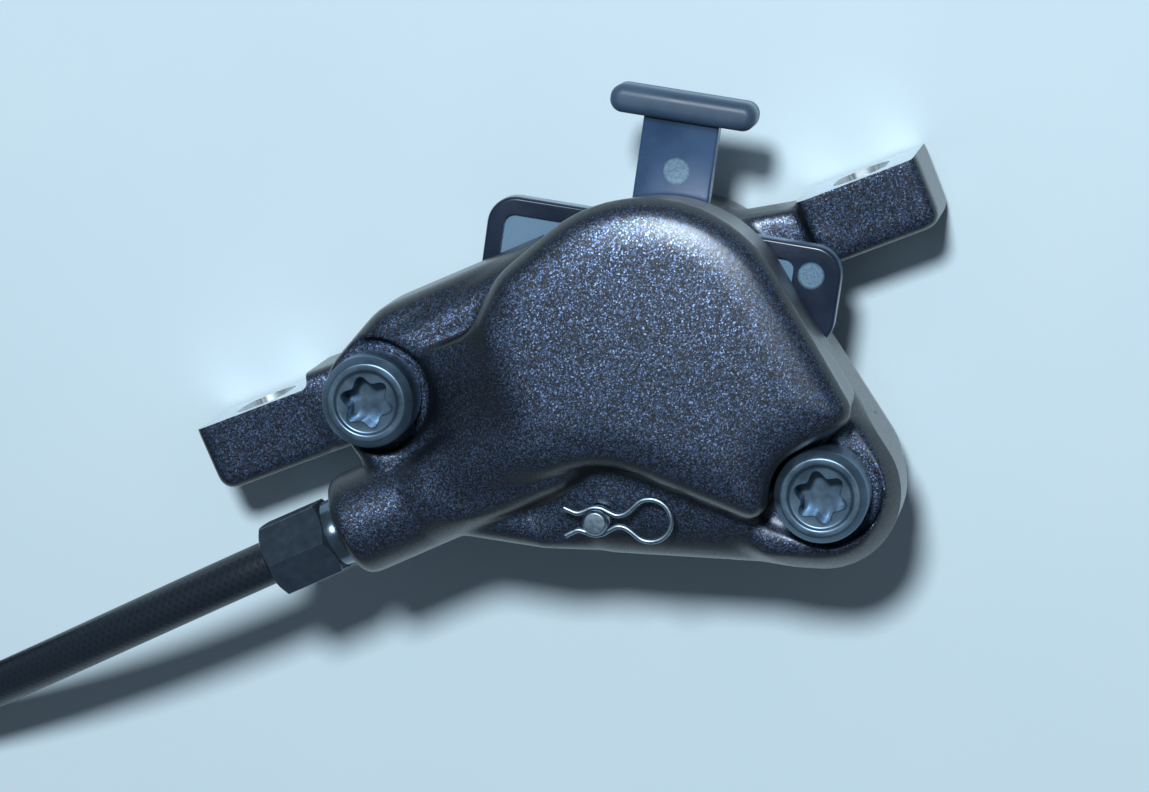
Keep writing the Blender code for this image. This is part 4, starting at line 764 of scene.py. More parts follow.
def web_hang(rows, gap):
    """How far the web falls below its top: rolled off at the outline, a cone round the lobe."""
    hang = WEB_FALL * (1.0 - np.sqrt(1.0 - np.clip(1.0 - gap / WEB_ROLL, 0.0, 1.0) ** 2))
    slant = LOBE_RIM - gap
    cone = np.where(slant > 0.0, CONE_LIP + slant + CONE_CURL * slant ** 2,
                    CONE_LIP * np.clip(1.0 + slant / CONE_EASE, 0.0, 1.0) ** 2)
    from_horn = np.hypot(rows[:, 0] - HORN[0], rows[:, 1] - HORN[1])
    cone += HORN_FALL * np.exp(-(from_horn / HORN_REACH) ** 2)
    from_lobe = np.hypot(rows[:, 0] - LOBE[0], rows[:, 1] - LOBE[1])
    return hang + (cone - hang) * np.clip((LOBE_REACH - from_lobe) / LOBE_FADE, 0.0, 1.0)


# The rough casting: body, face with its skirt, barrel, neck and shoulder, less the bolt pockets
inboard = cushion("inboard_half", BODY_CIRCLES, ROTOR_PLANE - MACHINING,
                  SHOULDER_TOP - WEB_SINK * MM, over=SHOULDER_RIM)
face = cushion("raised_face", FACE_CIRCLES, ROTOR_PLANE - MACHINING, FACE_TOP, over=FACE_RIM,
               drafted=FACE_DRAFT)
slope = cushion("slope", box_circles(-40.0 * MM, 0.0, -40.0 * MM, 40.0 * MM, 0.3 * MM), 0.0,
                30.0 * MM)
slope.data.transform(Matrix.Translation((SLOPE_START, 0.0, FACE_TOP))
                     @ Matrix.Rotation(SLOPE_TILT, 4, "Y"))
inner_edge = belt(FACE_CIRCLES, SKIRT_INSET)
skirt = loft("skirt", [([(x + SKIRT_LEAN.x, y + SKIRT_LEAN.y) for x, y in inner_edge], SKIRT_FOOT),
                       (inner_edge, SKIRT_HEAD)])
carve(face, [skirt], "UNION")
carve(face, [slope])
barrel = along(lathe("hose_barrel", [(0.0, BARREL_LENGTH), (BARREL_R, BARREL_LENGTH),
                                     (BARREL_R, 0.0), (0.0, 0.0)], ease=1.5 * MM),
               PORT_MOUTH, PORT_LINE)
neck = capsule("neck", NECK_FOOT, NECK_HEAD, BARREL_R, NECK_HEAD_R)
ridge = capsule("shoulder_ridge", RIDGE_START, RIDGE_END, RIDGE_R, RIDGE_R)
carve(inboard, [face, barrel, neck, ridge], "UNION")
pocket = cushion("far_pocket", FAR_POCKET_CIRCLES, BOLT_SEAT, FACE_TOP + MM, step=5.0)
seat = bar("hose_bolt_seat", POCKET_R, BOLT_SEAT, FACE_TOP + MM, HOSE_BOLT.x, HOSE_BOLT.y)
carve(inboard, [pocket, seat])
remesh(inboard)

# Its cast surface: the face crowned and domed at its rim, the web rolled off, the corners rounded
rows = places_of(inboard) / MM
spots, reach, share = VALLEY
weights = CAST_SHARE + share * nearness(rows, spots, reach)
for spots, reach, share in (FACE_CORNER, WEB_FOOT, POCKET_HORNS):
    weights = np.maximum(weights, share * nearness(rows, spots, reach))
lowered = rows.copy()
crown = np.clip((rows[:, 2] - CROWN_FOOT) / CROWN_RISE, 0.0, 1.0)
off_middle = np.hypot(rows[:, 0] - CROWN_MIDDLE[0], rows[:, 1] - CROWN_MIDDLE[1]) / CROWN_REACH
lowered[:, 2] -= CROWN_FALL * crown * np.clip(off_middle, 0.0, 1.3) ** 2
gap = edge_gap(rows, np.array(belt(FACE_CIRCLES)) / MM)
lowered[:, 2] -= DOME_FALL * crown * np.clip(1.0 - gap / DOME_WIDTH, 0.0, 1.0) ** 2
gap = edge_gap(rows, np.array(belt(BODY_CIRCLES)) / MM)
rolled = SHOULDER_TOP / MM - WEB_SINK - web_hang(rows, gap)
on_web = (rows[:, 2] < WEB_CEILING) & (rows[:, 2] > WEB_FLOOR) & (gap < WEB_ROLL)
share = (np.clip((rows[:, 0] - WEB_LEFT) / WEB_FADE, 0.0, 1.0)
         * np.clip((WEB_UPPER - rows[:, 1]) / WEB_FADE, 0.0, 1.0))
lowered[:, 2] -= np.clip(lowered[:, 2] - rolled, 0.0, None) * on_web * share
inboard.data.vertices.foreach_set("co", (lowered * MM).astype(np.float32).ravel())
relax(inboard, CAST_PASSES, weights)
coat(inboard, bare=False)

# What is machined into it: the pads' and piston's space, the parting face, bolt and axle holes
# and the hose port
tools = pad_cutters(1)
tools.append(coat(cushion("parting_face", box_circles(-60.0 * MM, 40.0 * MM, -50.0 * MM,
                                                      40.0 * MM, MM),
                          ROTOR_PLANE - 8.0 * MM, ROTOR_PLANE + PARTING)))
for where in (HOSE_BOLT, FAR_BOLT):
    tools.append(coat(bar("bolt_hole", BOLT_HOLE_R, ROTOR_PLANE - MM, FACE_TOP, where.x, where.y)))
tools.append(coat(bar("axle_hole", AXLE_HOLE_R, ROTOR_PLANE, FACE_TOP, AXLE.x, AXLE.y)))
tools.append(coat(along(bar("port", PORT_R, -2.0 * MM, PORT_DEPTH), PORT_MOUTH, PORT_LINE)))
tools.append(coat(along(bar("pilot", PILOT_R, 0.0, PILOT_DEPTH), PORT_MOUTH, PORT_LINE)))
carve(inboard, tools)
shade(inboard, 38.0)
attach(inboard, "caliper")
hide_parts("inboard_body")

# Outboard half: cast with both mounting ears and flat on its back, in the same paint.
# The faces of the ears towards the hub are milled bare, and their slots let the caliper be set.
EAR_FACE = 7.6 * MM
EAR_THICK = 8.0 * MM
EAR_LOW = 1.0 * MM
EAR_HIGH = 15.3 * MM
HOSE_EAR = -49.1 * MM
FAR_EAR = 25.1 * MM
EAR_HALF = 7.2 * MM
EAR_RIM = 1.3 * MM
EAR_CORNER = 1.7 * MM
EAR_SLOT_R = 3.2 * MM
EAR_SLOT_SHIFT = 1.9 * MM
BODY_INSET = 1.3 * MM
BACK_TOP = 10.4 * MM
BACK_CIRCLES = [(0.0, 0.0, SHIELD_DRAFT * ARCH_R - 1.6 * MM), (-24.0 * MM, 0.5 * MM, 7.5 * MM),
                (-13.0 * MM, -12.0 * MM, 5.5 * MM), (8.0 * MM, -14.0 * MM, 6.5 * MM)]
ARM_CIRCLES = [(4.0 * MM, 3.5 * MM, 6.0 * MM), (FAR_EAR - 2.2 * MM, 3.7 * MM, 2.2 * MM)]
BLEED_AT = (-37.0 * MM, -7.0 * MM, 9.6 * MM)
BLEED_LINE = (1.0, 0.0, 0.0)
BOSS_R = 4.4 * MM
BOSS_LENGTH = 14.0 * MM
BLEED_HOLE_R = 2.8 * MM
BLEED_HOLE_DEPTH = 7.0 * MM
AXLE_SEAT_R = 2.9 * MM
AXLE_SEAT_DEPTH = 7.2 * MM

# Shaping of its cast surface, in millimetres as above: how much the ears' tops lean with their
# distance from the milled face, and how the corner between the hose end's ear and body is rounded
EAR_DRAFT = 0.1
DRAFT_REACH = 9.0
DRAFT_FOOT = 8.0
DRAFT_RISE = 7.3
EAR_SHARE = 0.16
EAR_PASSES = 60
EAR_FOOT = ([(-36.0, 4.0, 8.0), (-36.0, 4.0, 13.0)], 4.0, 0.5)

# The rough casting: body, flat back, bleed boss and the two ears
outboard = cushion("outboard_half", [(x, y, r - BODY_INSET) for x, y, r in BODY_CIRCLES],
                   5.2 * MM, ROTOR_PLANE + MACHINING, under=2.8 * MM)
back = cushion("flat_back", BACK_CIRCLES, 0.0, BACK_TOP, under=1.9 * MM)
boss = along(lathe("bleed_boss", [(0.0, BOSS_LENGTH), (BOSS_R, BOSS_LENGTH), (BOSS_R, 0.0),
                                  (0.0, 0.0)], ease=0.9 * MM), BLEED_AT, BLEED_LINE)
ears = []
for name, left, right in (("hose_end_ear", HOSE_EAR - EAR_HALF, HOSE_BOLT.x - 3.0 * MM),
                          ("far_end_ear", FAR_EAR - EAR_HALF, FAR_EAR + EAR_HALF)):
    ears.append(cushion(name, box_circles(left, right, EAR_FACE - EAR_THICK, EAR_FACE + MACHINING,
                                          EAR_CORNER), EAR_LOW, EAR_HIGH, under=EAR_RIM,
                        over=EAR_RIM))
arm = cushion("ear_arm", ARM_CIRCLES, 3.5 * MM, 13.6 * MM, under=1.3 * MM, over=1.0 * MM)
carve(outboard, [back, boss, arm] + ears, "UNION")
remesh(outboard)
rows = places_of(outboard) / MM
on_ear = (rows[:, 0] < (HOSE_EAR + EAR_HALF) / MM) | (rows[:, 0] > (FAR_EAR - EAR_HALF) / MM)
fall = (EAR_DRAFT * np.clip(EAR_FACE / MM - rows[:, 1], 0.0, DRAFT_REACH)
        * np.clip((rows[:, 2] - DRAFT_FOOT) / DRAFT_RISE, 0.0, 1.0))
leaning = rows.copy()
leaning[:, 2] -= fall * on_ear
outboard.data.vertices.foreach_set("co", (leaning * MM).astype(np.float32).ravel())
spots, reach, share = EAR_FOOT
relax(outboard, EAR_PASSES, EAR_SHARE + share * nearness(rows, spots, reach))
coat(outboard, bare=False)

# What is machined into it: the same space, the parting face, the ears' faces and slots, threads
# for the body bolts, the axle's counterbore and the bleed hole
tools = pad_cutters(-1)
tools.append(coat(cushion("parting_face", box_circles(-60.0 * MM, 40.0 * MM, -50.0 * MM,
                                                      40.0 * MM, MM),
                          ROTOR_PLANE - PARTING, 40.0 * MM)))
for centre in (HOSE_EAR, FAR_EAR):
    tools.append(coat(cushion("milled_face", box_circles(centre - 9.0 * MM,
                                                         centre + EAR_HALF + 0.2 * MM,
                                                         EAR_FACE, EAR_FACE + 8.0 * MM, MM),
                              -MM, EAR_HIGH + MM)))
    slot = coat(cushion("ear_slot", [(0.0, -EAR_SLOT_SHIFT, EAR_SLOT_R),
                                     (0.0, EAR_SLOT_SHIFT, EAR_SLOT_R)], -EAR_THICK, EAR_THICK))
    slot.data.transform(Matrix.Translation((centre, EAR_FACE - EAR_THICK / 2.0,
                                            (EAR_LOW + EAR_HIGH) / 2.0))
                        @ Matrix.Rotation(math.pi / 2.0, 4, "X"))
    tools.append(slot)
for where in (HOSE_BOLT, FAR_BOLT):
    tools.append(coat(bar("thread_hole", BOLT_HOLE_R, -2.0 * MM, ROTOR_PLANE + MM,
                          where.x, where.y)))
tools.append(coat(bar("axle_hole", AXLE_HOLE_R, -2.0 * MM, ROTOR_PLANE, AXLE.x, AXLE.y)))
tools.append(coat(bar("axle_seat", AXLE_SEAT_R, -2.0 * MM, AXLE_SEAT_DEPTH, AXLE.x, AXLE.y)))
tools.append(coat(along(bar("bleed_thread", BLEED_HOLE_R, -2.0 * MM, BLEED_HOLE_DEPTH),
                        BLEED_AT, BLEED_LINE)))
carve(outboard, tools)
shade(outboard, 38.0)
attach(outboard, "caliper")
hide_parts("outboard_body")

# Body bolts: M6 socket heads with a six-lobed recess, forged steel, blackened and oiled.
# They pass through the inboard half and clamp it to threads in the outboard half.
BOLT_R = 3.0 * MM
HEAD_R = 5.1 * MM
HEAD_TOP = 33.3 * MM
HEAD_SEAT = 27.9 * MM
BOLT_END = 6.4 * MM
SOCKET_R = 2.85 * MM
SOCKET_WAIST = 2.1 * MM
SOCKET_DEPTH = 3.2 * MM
SOCKET_LOBES = 6.0
STAR_STEPS = 96

# Zinc phosphate over forged steel: blue-grey and satin, clouded by the bath. Its crystals are drawn
# 0.2 mm wide, coarser than real ones, so that they show
blackened, tree, shader = finish("blackened_forged_steel", "#454C55", 0.38, 0.9)
place = add(tree, "ShaderNodeTexCoord")
clouds = add(tree, "ShaderNodeTexNoise", {"Vector": (place, "Object"), "Scale": 1.0 / (2.4 * MM),
                                          "Detail": 8.0, "Roughness": 0.62})
grain = add(tree, "ShaderNodeTexNoise", {"Vector": (place, "Object"), "Scale": 1.0 / (0.2 * MM),
                                         "Detail": 3.0})
tone = add(tree, "ShaderNodeMix", {"Factor": (clouds, 0), 6: linear("#4E6478"),
                                   7: linear("#7A93A8")}, data_type="RGBA")
link(tree, tone, 2, shader, "Base Color")
rough = add(tree, "ShaderNodeMapRange", {"Value": (clouds, 0), "From Min": 0.3, "From Max": 0.7,
                                         "To Min": 0.3, "To Max": 0.46})
link(tree, rough, 0, shader, "Roughness")
relief = add(tree, "ShaderNodeBump", {"Height": (grain, 0), "Strength": 0.15,
                                      "Distance": 0.02 * MM})
link(tree, relief, "Normal", shader, "Normal")

for name, where, turn in (("hose_end_body_bolt", HOSE_BOLT, 24.0),
                          ("far_end_body_bolt", FAR_BOLT, 20.0)):
    profile = [(0.0, HEAD_TOP - 0.3 * MM), (3.35 * MM, HEAD_TOP - 0.3 * MM),
               (3.6 * MM, HEAD_TOP), (4.3 * MM, HEAD_TOP), (HEAD_R, HEAD_TOP - 0.85 * MM),
               (HEAD_R, HEAD_SEAT + 0.25 * MM), (HEAD_R - 0.25 * MM, HEAD_SEAT),
               (BOLT_R, HEAD_SEAT), (BOLT_R, BOLT_END + 0.8 * MM), (BOLT_R - 0.6 * MM, BOLT_END),
               (0.0, BOLT_END)]
    bolt = lathe(name + "_dressed", profile, steps=96, ease=0.16 * MM)
    star = []
    for k in range(STAR_STEPS):
        angle = TAU * k / STAR_STEPS
        swing = math.cos(SOCKET_LOBES * angle)
        reach = (SOCKET_R + SOCKET_WAIST) / 2.0 + (SOCKET_R - SOCKET_WAIST) / 2.0 * swing
        star.append((reach * math.cos(angle), reach * math.sin(angle)))
    wide = [(x * 1.05, y * 1.05) for x, y in star]
    socket = loft("socket", [(star, HEAD_TOP - SOCKET_DEPTH), (star, HEAD_TOP - 0.42 * MM),
                             (wide, HEAD_TOP - 0.29 * MM), (wide, HEAD_TOP + MM)])
    socket.data.transform(Matrix.Rotation(math.radians(turn), 4, "Z"))
    carve(bolt, [socket])
    bolt.data.transform(Matrix.Translation((where.x, where.y, 0.0)))
    dress(bolt, blackened, "caliper", name, 30.0)

# Pad axle and hairpin clip: a turned steel pin that carries the pads, kept in by a spring wire
# whose two legs snap into a groove round its end.
AXLE_R = 1.4 * MM
AXLE_END = 32.4 * MM
AXLE_LOW = 5.3 * MM
AXLE_HEAD_R = 2.6 * MM
AXLE_HEAD = 1.6 * MM
AXLE_KEY_R = 1.3 * MM
CLIP_GROOVE_R = 1.0 * MM
CLIP_GROOVE = 0.6 * MM
CLIP_LEVEL = 31.0 * MM
CLIP_WIRE_R = 0.3 * MM
CLIP_TILT = math.radians(-19.0)
# The clip's wire in millimetres: its eye's middle and radius, and one leg from its tip to its eye
CLIP_EYE = 5.9
CLIP_EYE_R = 2.35
CLIP_LEG = [(-3.5, 1.55), (-2.9, 1.25), (-2.1, 0.95), (-1.3, 1.15), (-0.65, 1.42), (0.0, 1.5),
            (0.7, 1.36), (1.4, 0.98), (2.2, 0.62), (3.0, 0.72), (3.7, 1.15)]

# Zinc-plated spring steel: brighter than the bolts, with small duller patches on the plating
plated, tree, shader = finish("plated_spring_steel", "#8096A8", 0.3, 1.0)
place = add(tree, "ShaderNodeTexCoord")
patches = add(tree, "ShaderNodeTexNoise", {"Vector": (place, "Object"),
                                           "Scale": 1.0 / (0.5 * MM), "Detail": 5.0})
tone = add(tree, "ShaderNodeMix", {"Factor": (patches, 0), 6: linear("#73899B"),
                                   7: linear("#AFC2D0")}, data_type="RGBA")
link(tree, tone, 2, shader, "Base Color")
rough = add(tree, "ShaderNodeMapRange", {"Value": (patches, 0), "To Min": 0.3, "To Max": 0.5})
link(tree, rough, 0, shader, "Roughness")

pin = lathe("pad_axle_dressed",
            [(0.0, AXLE_END), (AXLE_R - 0.25 * MM, AXLE_END), (AXLE_R, AXLE_END - 0.3 * MM),
             (AXLE_R, CLIP_LEVEL + CLIP_GROOVE), (CLIP_GROOVE_R, CLIP_LEVEL + CLIP_GROOVE),
             (CLIP_GROOVE_R, CLIP_LEVEL - CLIP_GROOVE), (AXLE_R, CLIP_LEVEL - CLIP_GROOVE),
             (AXLE_R, AXLE_LOW + AXLE_HEAD), (AXLE_HEAD_R, AXLE_LOW + AXLE_HEAD),
             (AXLE_HEAD_R, AXLE_LOW + 0.3 * MM), (2.3 * MM, AXLE_LOW), (0.0, AXLE_LOW)],
            steps=48, ease=0.08 * MM)
hexagon = [(AXLE_KEY_R * math.cos(TAU * k / 6.0), AXLE_KEY_R * math.sin(TAU * k / 6.0))
           for k in range(6)]
carve(pin, [loft("axle_key", [(hexagon, AXLE_LOW - MM), (hexagon, AXLE_LOW + 1.3 * MM)])])
pin.data.transform(Matrix.Translation((AXLE.x, AXLE.y, 0.0)))
dress(pin, plated, "caliper", "pad_axle")

eye = []
for k in range(1, 12):
    angle = math.radians(142.0 - 284.0 * k / 12.0)
    eye.append((CLIP_EYE + CLIP_EYE_R * math.cos(angle), CLIP_EYE_R * math.sin(angle)))
wire = CLIP_LEG + eye + [(x, -y) for x, y in reversed(CLIP_LEG)]
clip = tube("hairpin_clip_dressed", smooth_route([(x * MM, y * MM, 0.0) for x, y in wire],
                                                 0.15 * MM), CLIP_WIRE_R, 14)
clip.data.transform(Matrix.Translation((AXLE.x, AXLE.y, CLIP_LEVEL))
                    @ Matrix.Rotation(CLIP_TILT, 4, "Z"))
clip.data.materials.append(plated)
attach(clip, "caliper")
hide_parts("hairpin_clip")

# Transport spacer: injection-moulded nylon that keeps the pads apart, pulled out by its handle.
# A flat tongue between the pads, two framed wings, a stem and a cross bar with round edges.
SPACER_HALF = 1.3 * MM
TONGUE_HALF = 10.5 * MM
TONGUE_BOTTOM = -8.4 * MM
TONGUE_TOP = 3.8 * MM
WING_HALF = 19.9 * MM
WING_TOP = 11.9 * MM
WING_BOTTOM = 0.6 * MM
WING_WEB = 0.65 * MM
FRAME_WIDTH = 1.9 * MM
RIGHT_PANEL_END = 14.6 * MM
STEM_HALF = 4.2 * MM
HANDLE_HALF = 8.1 * MM
HANDLE_END = 26.2 * MM
HANDLE_FOOT = 23.1 * MM
HANDLE_DEPTH = 2.7 * MM
EJECTOR_R = 1.5 * MM
EJECTOR_MARKS = [(PAD_MID + 0.2 * MM, 17.6 * MM), (PAD_MID + 16.6 * MM, 8.6 * MM)]

# Moulded nylon, blue-black and glossy, clouded by the melt's flow and stippled in the ejectors'
# marks.
# Painted light: the stem is painted paler for its light and reflections, the handled bar paler as a
# painted sheen, and the thin panels pale as the light that would get through them.
# The mould's spark-eroded texture is drawn a quarter of a millimetre wide, so that it shows
nylon, tree, shader = finish("moulded_blue_black_nylon", "#16202F", 0.28, 0.0)
shader.inputs["IOR"].default_value = 1.53
place = add(tree, "ShaderNodeTexCoord")
flow = add(tree, "ShaderNodeTexNoise", {"Vector": (place, "Object"), "Scale": 1.0 / (6.0 * MM),
                                        "Detail": 6.0})
tone = add(tree, "ShaderNodeMix", {"Factor": (flow, 0), 6: linear("#111B29"),
                                   7: linear("#22324A")}, data_type="RGBA")
pad_place = add(tree, "ShaderNodeVectorRotate", {"Vector": (place, "Object"), "Angle": PAD_TILT},
                rotation_type="Z_AXIS")
split = add(tree, "ShaderNodeSeparateXYZ", {"Vector": (pad_place, 0)})
up_stem = add(tree, "ShaderNodeMapRange", {"Value": (split, "Y"),
                                           "From Min": WING_TOP - 0.3 * MM,
                                           "From Max": WING_TOP + 0.6 * MM})
under_bar = add(tree, "ShaderNodeMapRange", {"Value": (split, "Y"), "To Min": 1.0, "To Max": 0.0,
                                             "From Min": HANDLE_FOOT - 0.8 * MM,
                                             "From Max": HANDLE_FOOT})
on_stem = add(tree, "ShaderNodeMath", {0: (up_stem, 0), 1: (under_bar, 0)}, operation="MULTIPLY")
# Painted light: the stem is painted a paler blue for the light and reflections it shows
painted_stem_light = add(tree, "ShaderNodeMix", {"Factor": (flow, 0), 6: linear("#20344F"),
                                        7: linear("#42628A")}, data_type="RGBA")
tone = add(tree, "ShaderNodeMix", {"Factor": (on_stem, 0), 6: (tone, 2), 7: (painted_stem_light, 2)},
           data_type="RGBA")
off_middle = add(tree, "ShaderNodeMath", {0: (split, "Z"), 1: ROTOR_PLANE}, operation="SUBTRACT")
depth = add(tree, "ShaderNodeMath", {0: (off_middle, 0)}, operation="ABSOLUTE")
thin = add(tree, "ShaderNodeMapRange", {"Value": (depth, 0), "From Min": 0.72 * MM,
                                        "From Max": 0.95 * MM, "To Min": 1.0, "To Max": 0.0})
on_bar = add(tree, "ShaderNodeMapRange", {"Value": (split, "Y"),
                                          "From Min": HANDLE_FOOT - 0.3 * MM,
                                          "From Max": HANDLE_FOOT})
# Painted sheen: the handled bar is painted paler for the highlight on its rounded front
painted_bar_sheen = add(tree, "ShaderNodeMix", {"Factor": (flow, 0), 6: linear("#26384C"),
                                       7: linear("#4A647F")}, data_type="RGBA")
tone = add(tree, "ShaderNodeMix", {"Factor": (on_bar, 0), 6: (tone, 2), 7: (painted_bar_sheen, 2)},
           data_type="RGBA")
on_marks = []
for x, y in EJECTOR_MARKS:
    away = add(tree, "ShaderNodeVectorMath", {0: (pad_place, 0),
                                              1: (x, y, ROTOR_PLANE + SPACER_HALF)},
               operation="DISTANCE")
    on_marks.append(add(tree, "ShaderNodeMapRange", {"Value": (away, "Value"),
                                                     "From Min": EJECTOR_R - 0.25 * MM,
                                                     "From Max": EJECTOR_R + 0.05 * MM,
                                                     "To Min": 1.0, "To Max": 0.0}))
marks = add(tree, "ShaderNodeMath", {0: (on_marks[0], 0), 1: (on_marks[1], 0)},
            operation="MAXIMUM")
stipple = add(tree, "ShaderNodeTexNoise", {"Vector": (place, "Object"), "Scale": 1.0 / (0.25 * MM),
                                           "Detail": 2.0})
mark_tone = add(tree, "ShaderNodeMix", {"Factor": (stipple, 0), 6: linear("#2F4A66"),
                                        7: linear("#8FAFC6")}, data_type="RGBA")
tone = add(tree, "ShaderNodeMix", {"Factor": (marks, 0), 6: (tone, 2), 7: (mark_tone, 2)},
           data_type="RGBA")
# Painted light: the thin panels are painted pale for the table's light that would shine through
# them
painted_through_light = add(tree, "ShaderNodeMix", {"Factor": (thin, 0), 6: (tone, 2), 7: linear("#6F8CA6")},
          data_type="RGBA")
link(tree, painted_through_light, 2, shader, "Base Color")
rough = add(tree, "ShaderNodeMapRange", {"Value": (flow, 0), "From Min": 0.3, "From Max": 0.7,
                                         "To Min": 0.2, "To Max": 0.34})
handled = add(tree, "ShaderNodeMath", {0: (on_bar, 0), 1: 0.2, 2: (rough, 0)},
              operation="MULTIPLY_ADD")
link(tree, handled, 0, shader, "Roughness")
texture = add(tree, "ShaderNodeTexNoise", {"Vector": (place, "Object"), "Scale": 1.0 / (0.26 * MM),
                                           "Detail": 2.0})
relief = add(tree, "ShaderNodeBump", {"Height": (texture, 0), "Strength": 0.1,
                                      "Distance": 0.02 * MM})
link(tree, relief, "Normal", shader, "Normal")

spacer = cushion("transport_spacer_dressed",
                 box_circles(PAD_MID - TONGUE_HALF, PAD_MID + TONGUE_HALF, TONGUE_BOTTOM,
                             TONGUE_TOP, 2.0 * MM),
                 -SPACER_HALF, SPACER_HALF, under=0.2 * MM, over=0.2 * MM)
wings = cushion("wings", box_circles(PAD_MID - WING_HALF, PAD_MID + WING_HALF, WING_BOTTOM,
                                     WING_TOP, 3.2 * MM), -SPACER_HALF, SPACER_HALF,
                under=0.4 * MM, over=0.4 * MM)
stem = cushion("stem", box_circles(PAD_MID - STEM_HALF, PAD_MID + STEM_HALF, WING_TOP - 2.0 * MM,
                                   HANDLE_END - 1.5 * MM, 0.3 * MM), -SPACER_HALF, SPACER_HALF,
               under=0.25 * MM, over=0.25 * MM)
handle = cushion("handle", box_circles(PAD_MID - HANDLE_HALF, PAD_MID + HANDLE_HALF, HANDLE_FOOT,
                                       HANDLE_END, 1.45 * MM), -HANDLE_DEPTH, HANDLE_DEPTH,
                 under=1.1 * MM, over=1.1 * MM)
carve(spacer, [wings, stem, handle], "UNION")
tools = []
for left, right in ((PAD_MID - WING_HALF + FRAME_WIDTH, PAD_MID - TONGUE_HALF),
                    (PAD_MID + TONGUE_HALF, PAD_MID + RIGHT_PANEL_END)):
    for sign in (1, -1):
        low, high = sorted((sign * WING_WEB, sign * 4.0 * MM))
        tools.append(cushion("panel", box_circles(left, right, WING_BOTTOM + FRAME_WIDTH,
                                                  WING_TOP - FRAME_WIDTH, 1.2 * MM), low, high))
for x, y in EJECTOR_MARKS:
    tools.append(bar("ejector_mark", EJECTOR_R, SPACER_HALF - 0.1 * MM, 4.0 * MM, x, y, sides=40))
carve(spacer, tools)
spacer.data.transform(PAD_FRAME)
dress(spacer, nylon, "transport_spacer", "transport_spacer")

# Pistons: moulded from phenolic resin with mineral filler, ground round outside, hollow cups that
# face the pads. They slide in the bores, and the seals' squeeze draws them back.
PISTON_FACE = 5.75 * MM
PISTON_BACK = 12.75 * MM
PISTON_R = 10.7 * MM
CUP_R = 8.2 * MM
CUP_DEPTH = 4.6 * MM
GATE_R = 1.3 * MM
GATE_DEPTH = 0.15 * MM

# Dark resin with pale mineral grains, and faint grinding rings round the outside, both drawn about
# half a millimetre apart, which is coarser than real ones
phenolic, tree, shader = finish("ground_phenolic_resin", "#241F1B", 0.42, 0.0)
place = add(tree, "ShaderNodeTexCoord")
grains = add(tree, "ShaderNodeTexVoronoi", {"Vector": (place, "Object"),
                                            "Scale": 1.0 / (0.45 * MM)})
pale = add(tree, "ShaderNodeMapRange", {"Value": (grains, "Distance"), "From Min": 0.12,
                                        "From Max": 0.3, "To Min": 1.0, "To Max": 0.0})
clouds = add(tree, "ShaderNodeTexNoise", {"Vector": (place, "Object"), "Scale": 1.0 / (3.0 * MM),
                                          "Detail": 5.0})
resin = add(tree, "ShaderNodeMix", {"Factor": (clouds, 0), 6: linear("#1B1714"),
                                    7: linear("#332B25")}, data_type="RGBA")
tone = add(tree, "ShaderNodeMix", {"Factor": (pale, 0), 6: (resin, 2), 7: linear("#5C5147")},
           data_type="RGBA")
link(tree, tone, 2, shader, "Base Color")
rings = add(tree, "ShaderNodeTexWave", {"Vector": (place, "Object"), "Scale": 1.0 / (0.5 * MM),
                                        "Distortion": 0.6}, wave_type="BANDS",
            bands_direction="Z")
rough = add(tree, "ShaderNodeMapRange", {"Value": (rings, 1), "To Min": 0.34, "To Max": 0.5})
link(tree, rough, 0, shader, "Roughness")
relief = add(tree, "ShaderNodeBump", {"Height": (rings, 1), "Strength": 0.12,
                                      "Distance": 0.01 * MM})
link(tree, relief, "Normal", shader, "Normal")

for side, flip in (("inboard", 0.0), ("outboard", math.pi)):
    cup = PISTON_FACE + CUP_DEPTH
    piston = lathe(side + "_piston_dressed",
                   [(0.0, PISTON_BACK), (PISTON_R - 0.5 * MM, PISTON_BACK),
                    (PISTON_R, PISTON_BACK - 0.5 * MM), (PISTON_R, PISTON_FACE + 0.4 * MM),
                    (PISTON_R - 0.4 * MM, PISTON_FACE), (CUP_R + 0.4 * MM, PISTON_FACE),
                    (CUP_R, PISTON_FACE + 0.4 * MM), (CUP_R, cup), (GATE_R, cup),
                    (1.1 * MM, cup - GATE_DEPTH), (0.0, cup - GATE_DEPTH)],
                   steps=96, ease=0.2 * MM)
    piston.data.transform(PAD_FRAME @ Matrix.Rotation(flip, 4, "X"))
    dress(piston, phenolic, side + "_piston", side + "_piston")

# Seals: moulded nitrile rubber, square in section round the pistons, a small round ring between
# the halves at the fluid passage, and a flat one under the bleed screw's head.
SEAL_LOW = 9.2 * MM
SEAL_HIGH = 11.2 * MM
SEAL_OUTER = 12.4 * MM
SEAL_EDGE = 0.15 * MM
CROSSOVER = Vector((-25.5 * MM, -7.0 * MM))
CROSS_SEAL_R = 1.75 * MM
CROSS_SEAL_CORD = 0.45 * MM
BLEED_HEAD_R = 3.3 * MM

# Black rubber, nearly matt, with the uneven bloom that wax leaves
rubber, tree, shader = finish("moulded_nitrile_rubber", "#0E0F10", 0.55, 0.0)
place = add(tree, "ShaderNodeTexCoord")
bloom = add(tree, "ShaderNodeTexNoise", {"Vector": (place, "Object"), "Scale": 1.0 / (1.5 * MM),
                                         "Detail": 6.0})
tone = add(tree, "ShaderNodeMix", {"Factor": (bloom, 0), 6: linear("#0B0C0D"),
                                   7: linear("#1D2023")}, data_type="RGBA")
link(tree, tone, 2, shader, "Base Color")
rough = add(tree, "ShaderNodeMapRange", {"Value": (bloom, 0), "To Min": 0.45, "To Max": 0.7})
link(tree, rough, 0, shader, "Roughness")
relief = add(tree, "ShaderNodeBump", {"Height": (bloom, 0), "Strength": 0.1,
                                      "Distance": 0.02 * MM})
link(tree, relief, "Normal", shader, "Normal")


